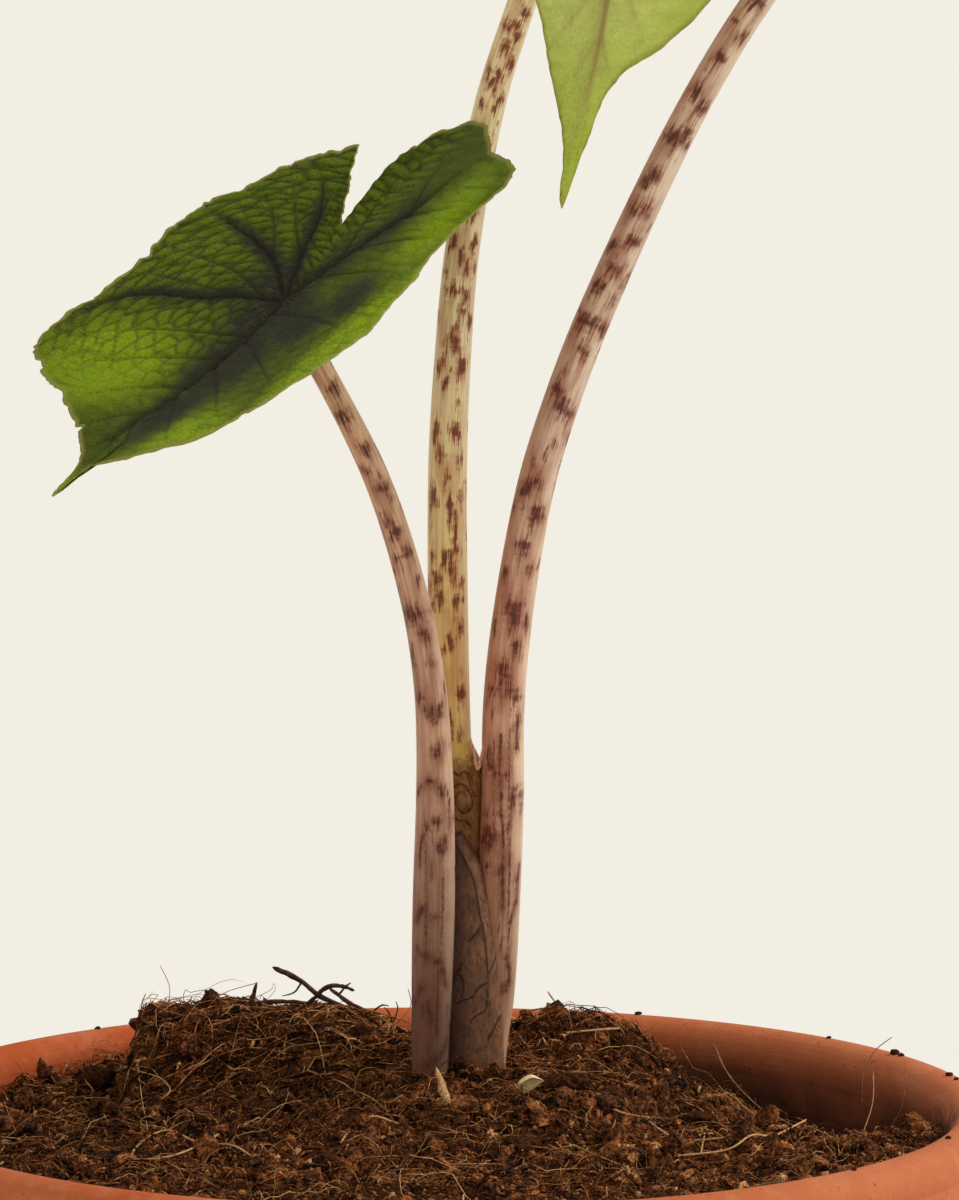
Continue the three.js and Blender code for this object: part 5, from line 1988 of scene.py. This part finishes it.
    def sheaths(self) -> list[Sheath]:
        """The brown outer cataphyll and the olive inner sheath."""
        foot = self.foot
        cataphyll = [
            [5.2, 1.6, foot, 3.9, 3.7], [5.7, 1.6, 147, 4.2, 3.9], [5.4, 1.6, 155, 4.2, 4.0],
            [4.9, 1.6, 164, 3.6, 3.9], [4.1, 1.4, 172, 2.6, 3.4], [2.9, 0.6, 177, 1.2, 2.2],
        ]
        inner = [
            [3.1, 4.4, foot, 3.4, 3.4], [3.1, 4.4, 150, 3.6, 3.6], [3.3, 4.5, 178, 4.0, 3.6],
            [3.5, 4.5, 184, 4.1, 3.6], [3.1, 4.6, 186.4, 3.4, 3.2], [2.8, 4.6, 188, 2.9, 2.88],
            [2.66, 4.6, 189.2, 2.72, 2.72],
        ]
        brown = SheathFinish(
            "sheath_brown", low=tint(108, 72, 50), high=tint(144, 98, 70), vein=tint(62, 34, 22),
            edge=tint(176, 130, 98), tip=tint(144, 98, 70),
        )
        olive = SheathFinish(
            "sheath_olive", low=tint(122, 76, 38), high=tint(162, 110, 58), vein=tint(66, 34, 16),
            edge=tint(184, 142, 82), tip=tint(234, 196, 110), fade=(185.2, 188.6),
            vein_strength=0.55,
        )
        brown_veins = [
            [(3.6, 175.4), (4.4, 173.8), (5.6, 171.2), (6.2, 168.5), (6.5, 166.4), (7.1, 163.7),
             (7.4, 161.4), (7.5, 159.5), (7.6, 157.7), (7.7, 156), (7.5, 154.1), (7.3, 153),
             (6.2, 152.3), (5.4, 151.6), (5.2, 150.5)],
            [(6.9, 165.0), (5.9, 163.5), (5.0, 162.5)],
            [(8.9, 162.4), (8.8, 160.6), (8.3, 159.1), (7.7, 157.9)],
            [(7.5, 156.8), (6.2, 156), (5.6, 154.9), (4.3, 154.4), (3.2, 153.8)],
            [(4.2, 159.6), (3.6, 158.3), (2.9, 156.6), (2.5, 154.5)],
            [(3.8, 158), (4.3, 156.8), (4.1, 154.9)],
            [(9.3, 152), (8.4, 150.3), (7.6, 148.9)],
        ]
        olive_veins = [
            [(2.8, 185.4), (3.6, 185), (4.3, 185.4), (5, 185), (5.6, 184)],
            [(3.0, 183.4), (3.9, 183.8), (4.7, 183.2), (5.4, 181.8), (5.3, 180.4), (4.4, 179.8),
             (3.6, 180.4), (3.2, 181.6), (3.6, 182.6), (4.4, 182.6)],
            [(2.9, 179.6), (3.5, 178.8), (4.6, 178.6), (5.4, 177.6)],
            [(4.9, 185), (5.3, 183.4), (5.9, 182)],
        ]
        return [
            Sheath("cataphyll", "outer_cataphyll", "brown_sheath", cataphyll, brown, brown_veins, 3.0),
            Sheath("sheath_inner", "inner_sheath", "olive_sheath", inner, olive, olive_veins,
                   rings=120, fine_from=174.0, vein_width=0.11, shaded=0.1),
        ]

    def flap(self) -> None:
        """The torn membrane that stands up from the inner sheath."""
        arms = [
            [[6.2, 1.6, 185.4, 0.34], [5.9, 1.7, 187.0, 0.26], [5.5, 2.0, 189.2, 0.14]],
            [[6.2, 1.6, 185.4, 0.34], [6.7, 1.3, 187.3, 0.26], [7.3, 1.0, 190.6, 0.1]],
        ]
        parts = [rod(f"flap_{i}", controls, 10, 14, 0.1) for i, controls in enumerate(arms)]
        finish = TonedFinish("membrane", tint(190, 130, 92), tint(236, 196, 158), 0.5, 0.08, 3)
        add_piece("sheath_flap", joined("sheath_flap", parts), finish.material())

    def build(self) -> None:
        """Makes the plant."""
        blades = [self.left_blade(), self.centre_blade(), self.right_blade()]
        for part in (*blades, *self.petioles(blades), *self.sheaths()):
            part.build()
        self.flap()
        corm = TonedFinish("corm_skin", tint(74, 50, 34), tint(128, 92, 62), 0.9, 0.4, 0.8)
        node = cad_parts["corm_with_roots"]
        node.data.materials.clear()
        node.data.materials.append(corm.material())


@dataclass
class Litter:
    """What lies on the mix: a twig, splinters, bark, a husk, roots and hairs."""

    husk_at: Place = (13.4, -6.6, 143.4)
    husk_size: Place = (2.0, 1.0, 1.3)
    husk_wall: float = 0.14
    rim_circle: float = 74.6
    rim_top: float = 140.0

    def woody(self) -> None:
        """The forked twig and the two splinters."""
        dark = TonedFinish("bark_dark", tint(44, 27, 20), tint(104, 66, 44), 0.85, 0.2, 1.6).material()
        pale = TonedFinish("wood_pale", tint(150, 100, 56), tint(230, 184, 124), 0.8, 0.15, 2).material()
        twig = [
            [[-10.2, 26, 147.7, 0.25], [-13.2, 26, 148.7, 0.32], [-16.3, 26, 150.2, 0.42],
             [-18.6, 26, 152.1, 0.34], [-20.5, 26, 153.2, 0.42], [-22.8, 26, 154.2, 0.3]],
            [[-16.2, 26.1, 150.2, 0.25], [-18, 26.6, 148.7, 0.3], [-19.6, 26.9, 147.3, 0.2]],
            [[-16.4, 25.9, 150.3, 0.3], [-14.9, 25.6, 151.4, 0.36], [-12.8, 25.4, 151.5, 0.3],
             [-11.1, 25.2, 150.9, 0.18]],
            [[-14.8, 25.5, 151.3, 0.25], [-11.6, 23.6, 149.3, 0.32], [-8.9, 22.4, 148.1, 0.3],
             [-4.8, 20, 145.8, 0.18]],
            [[-13.4, 24.6, 150.4, 0.15], [-12.2, 24.4, 151.8, 0.16], [-11.6, 24.4, 152.2, 0.08]],
            [[-18.6, 26, 152.0, 0.14], [-19.6, 26, 150.6, 0.14], [-21.4, 26, 150.0, 0.06]],
            [[-8.9, 22.4, 148.1, 0.15], [-7.2, 22, 149.4, 0.14], [-6.2, 22, 149.3, 0.06]],
            [[-5.6, 21, 146.4, 0.14], [-6.3, 21, 148.6, 0.12], [-7.0, 21, 149.4, 0.05]],
            [[-5.6, 21, 147.2, 0.1], [-5.0, 21, 149.2, 0.1], [-5.3, 21, 150.2, 0.05]],
            [[-27.8, 27.5, 148.2, 0.25], [-24, 27.6, 148.8, 0.38], [-19.5, 27.6, 148.9, 0.3],
             [-16.2, 27.4, 148.6, 0.14]],
        ]
        parts = [rod(f"twig_{i}", controls, 8, 34, 0.25) for i, controls in enumerate(twig)]
        add_piece("twig", joined("twig", parts), dark, ["forked_twig"])
        upright = [[-26.2, 27, 146.6, 0.45], [-25.7, 27, 149, 0.5], [-24.9, 27, 151.9, 0.12]]
        short = [[2.2, -13.6, 141.2, 0.5], [1.9, -12.8, 142.5, 0.62], [1.4, -11.6, 143.7, 0.66],
                 [1.0, -10.4, 145.0, 0.42], [0.5, -9.4, 146.4, 0.12]]
        for shade, line, finish in (("dark", upright, dark), ("pale", short, pale)):
            splinter = rod(f"splinter_{shade}", line, 7, 20, 0.3)
            add_piece(f"splinter_{shade}", splinter, finish, [f"{shade}_splinter"])

    def laid(
        self, line: Rows, radius: float, lift: float = 0.7
    ) -> list[list[float]]:
        """A line of points as a rod's controls, kept just above the crumbs.

        Args:
            line: the points in millimetres.
            radius: the rod's radius.
            lift: how far over the mix it stays.

        Returns:
            The controls.
        """
        points = np.array(line, float)
        over = crumbled(points[:, 0], points[:, 1]) + lift
        height = np.maximum(points[:, 2], over)
        return np.column_stack([points[:, :2], height, np.full(len(points), radius)]).tolist()

    def roots(self) -> None:
        """The loose tan roots that the mix shows on its surface."""
        finish = TonedFinish("root_tan", tint(178, 126, 74), tint(228, 184, 128), 0.7, 0.05, 2)
        parts = [
            rod(f"root_{i}", self.laid(line, radius), 6, 12 * len(line), 0.15)
            for i, (radius, line) in enumerate(ROOTS)
        ]
        add_piece("roots_loose", joined("roots_loose", parts), finish.material())

    def fan(self) -> None:
        """The tan strands that run together at the top of the root ball's block."""
        rng = np.random.default_rng(41)
        share = np.linspace(0, 1, 9)[:, None]
        paths, radii = [], []
        for head, feet, number in (
            ((-5.6, 19.5, 147.4), ((-11, 9, 143.6), (-5.4, 8, 143)), 16),
            ((-6.2, 20.5, 148), ((-20, 22, 146.8), (-13, 15, 146)), 12),
        ):
            for part in np.linspace(0, 1, number):
                foot = np.array(feet[0]) * (1 - part) + np.array(feet[1]) * part
                line = np.array(head) * (1 - share) + (foot + rng.normal(0, 0.6, 3)) * share
                bow = np.sin(math.pi * share) * rng.normal([0, 0, 0.9], [0.5, 0.4, 0.5])
                paths.append(line + bow + rng.normal(0, 0.12, (9, 3)))
                radii.append(rng.uniform(0.08, 0.16))
        tones = rng.uniform(0.6, 1.0, len(radii))
        mesh = strands("mix_fan", np.array(paths), np.array(radii), tones)
        add_piece("mix_fan", mesh, EarthFinish().loose("mix_fan"))

    def free_hairs(self) -> None:
        """Hair-thin fibres that stand away from the mix and hang on the pot's inner wall."""
        finish = TonedFinish("hair_fine", tint(150, 92, 56), tint(206, 156, 112), 0.7, 0.02, 2)
        parts = [
            rod(f"hair_{i}", [[*point, radius] for point in line], 5, 10 * len(line), 0.1)
            for i, (radius, line) in enumerate(HAIRS)
        ]
        add_piece("hairs_free", joined("hairs_free", parts), finish.material())

    def lump(
        self, name: str, at: Sequence[float], size: Sequence[float], seed: float, fine: int = 4
    ) -> Mesh:
        """A rough lump.

        Args:
            name: the mesh's name.
            at: its place.
            size: its half sizes along x, y and z.
            seed: picks another roughness.
            fine: the ball's subdivisions.

        Returns:
            The mesh.
        """
        mesh, local = ball(name, fine)
        a, b = local[:, 0] + 0.6 * local[:, 2], local[:, 1] - 0.5 * local[:, 2]
        uneven = 1 + 0.3 * ripple(a, b, 0.7, seed) + 0.2 * ripple(a, b, 0.22, seed + 2)
        points = np.array(at) + local * uneven[:, None] * np.array(size)
        set_shape(mesh, Shape(points, {"tone": 0.5 + 0.5 * ripple(a, b, 0.5, seed)}))
        return mesh

    def husk(self) -> Mesh:
        """A thin curled seed husk, open at the top."""
        shell = bmesh.new()
        bmesh.ops.create_uvsphere(shell, u_segments=36, v_segments=24, radius=1.0)
        bmesh.ops.bisect_plane(
            shell, geom=shell.verts[:] + shell.edges[:] + shell.faces[:], dist=1e-5,
            plane_co=(0, -0.1, 0), plane_no=(0.2, -0.8, -0.6), clear_outer=True,
        )
        bmesh.ops.recalc_face_normals(shell, faces=shell.faces)
        bmesh.ops.solidify(shell, geom=shell.faces[:], thickness=self.husk_wall)
        bmesh.ops.recalc_face_normals(shell, faces=shell.faces)
        mesh = finished(shell, "husk_shell")
        local = read_points(mesh)
        narrow = 1 - 0.55 * smooth(local[:, 0], -0.1, 1.1)
        long, wide, tall = self.husk_size
        size = np.column_stack([np.full(len(local), long), wide * narrow, tall * narrow])
        crease = 1 + 0.1 * ripple(local[:, 0], local[:, 1], 0.6, 5)
        points = np.array(self.husk_at) + local * crease[:, None] * size
        points[:, 2] += 0.3 * local[:, 0] + 0.5 * smooth(local[:, 0], -1, 0.2) - 0.35
        set_shape(mesh, Shape(points))
        return mesh

    def chips(self) -> None:
        """The bark lump, the other wood chips, the seed husk and crumbs on the rim."""
        dark = TonedFinish("chip_dark", tint(28, 15, 8), tint(96, 56, 32), 0.95, 0.5, 2.4, 0.05).material()
        chip = self.lump("bark_chip", (-47.3, 26, 138.4), (2.6, 2.1, 1.8), 3)
        add_piece("bark_chip", chip, dark, ["bark_lump"])
        others = [
            self.lump(f"chip_{i}", at, size, 5 + i) for i, (at, size) in enumerate(CHIPS)
        ]
        add_piece("wood_chips", joined("wood_chips", others), dark)
        crumbs = []
        for i, (angle, size) in enumerate(RIM_CRUMBS):
            a = math.radians(angle)
            height = self.rim_top + 0.35 * size
            at = (self.rim_circle * math.cos(a), self.rim_circle * math.sin(a), height)
            crumbs.append(self.lump(f"rim_{i}", at, (size, 0.8 * size, 0.6 * size), 20 + i, 3))
        add_piece("rim_crumbs", joined("rim_crumbs", crumbs), dark)
        shell = TonedFinish("husk_cream", tint(244, 208, 124), tint(255, 244, 200), 0.6, 0.06, 1.5)
        add_piece("husk_cup", self.husk(), shell.material(), ["seed_husk"])

    def build(self) -> None:
        """Makes the litter."""
        self.woody()
        self.roots()
        self.fan()
        self.free_hairs()
        self.chips()


ROOTS = [
    (0.15, [(-23.9, -31.4, 138), (-27, -25.2, 138.6), (-31, -23.2, 138.5), (-36, -14.9, 138.6),
            (-38.7, -20, 138.2), (-39.4, -32.1, 138), (-35.4, -31.3, 138.1), (-31.3, -24.8, 138.4),
            (-28.6, -19.2, 139)]),
    (0.16, [(32.5, -31.7, 138.3), (39.7, -29.1, 138.2), (42.7, -25.5, 138.2), (45.9, -17.2, 138.1),
            (49, -6.7, 137.4), (51.5, 0.5, 137.2)]),
    (0.14, [(28.2, -14.8, 140), (33.6, -22.4, 138.8), (41.1, -25.2, 138.4)]),
    (0.13, [(37.2, -13.3, 139), (36, -30.1, 138.2)]),
    (0.16, [(-44.8, 5.7, 137.6), (-39.6, 1.7, 138.6)]),
    (0.08, [(-47.3, 29.4, 137), (-45.1, 36.8, 137.2), (-40.6, 9, 142.3), (-37.5, 7.3, 141.6),
            (-36.3, 4.9, 140.4), (-37.6, 2.5, 139.2)]),
    (0.07, [(-41.1, 11.1, 143.4), (-40.2, 4.4, 139.5), (-38.5, -13.9, 138.4)]),
    (0.17, [(-12.2, -27.3, 139.2), (-10.7, -22.1, 140.2), (-8, -20.9, 140.6), (-4.3, -21.7, 140.6)]),
    (0.16, [(23.5, -11.1, 141.3), (26.2, -13.2, 140.6), (29.5, -17, 139.7)]),
    (0.15, [(18.4, 14, 146.9), (23.3, 16, 147), (26.1, 18.7, 146.7)]),
    (0.13, [(-55.2, 29, 135.6), (-51.4, 26.6, 136)]),
]
HAIRS = [
    (0.07, [(58.6, -8.2, 136.4), (60.4, -2, 140), (60.8, 4, 143.4)]),
    (0.07, [(60.8, 32, 133.4), (60.9, 31.8, 137.5), (62.4, 31, 141.2), (65, 30, 143.6)]),
    (0.08, [(64.4, 24.6, 131.4), (65.7, 22.2, 134.6), (66.3, 21, 138.6), (66.2, 21.8, 142)]),
    (0.1, [(40.5, 54.5, 138), (41.8, 53.2, 135), (43.9, 50.8, 132.4), (47.4, 46.6, 129.6)]),
    (0.06, [(-38, 26, 146.6), (-37.2, 26.4, 151), (-38.6, 26.8, 154.4)]),
    (0.06, [(-33, 24, 147), (-30, 24.4, 150.4), (-24.5, 25, 152.2)]),
    (0.06, [(-6, 22, 146), (-3.2, 21.6, 149.4), (-3.6, 21.4, 152)]),
    (0.12, [(18.6, 26, 146.4), (17.4, 26.4, 148.6), (16, 26.8, 150.6)]),
    (0.09, [(-40.2, 27, 146.5), (-41.2, 27, 148.4), (-40.6, 27.4, 150.2)]),
]
CHIPS = [
    ((18.8, -4, 143.0), (3.2, 2.2, 1.8)), ((-29.6, 13, 146.0), (2.4, 1.0, 0.6)),
    ((-31.4, 26, 149.2), (1.1, 1.0, 1.6)), ((-39.4, 26.5, 147.6), (1.1, 0.9, 1.2)),
    ((22, 25.5, 146.4), (1.2, 1.1, 0.9)), ((-33.5, 27, 147.2), (1.6, 1.2, 1.2)),
    ((27.5, 20, 144.6), (1.4, 1.2, 1.0)), ((36, -10, 139.4), (2.2, 1.6, 1.0)),
    ((12, -28, 139.2), (2.4, 1.6, 1.1)), ((-14, -34, 138.2), (1.8, 1.5, 1.0)),
]
RIM_CRUMBS = [
    (66.5, 0.45), (40.5, 0.35), (28.5, 0.7), (27.2, 0.45), (14.5, 0.5), (12, 0.35), (113, 0.5),
    (131, 0.4), (166, 0.35), (203, 0.3), (318, 0.35), (338, 0.4),
]


def main() -> None:
    """Builds the studio and every piece of the potted plant."""
    logging.basicConfig(level=logging.INFO, format="%(message)s")
    Studio().build()
    pot = Pot()
    pot.build()
    PottingMix(pot).build()
    Plant().build()
    Litter().build()
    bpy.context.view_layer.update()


if __name__ == "__main__":
    main()
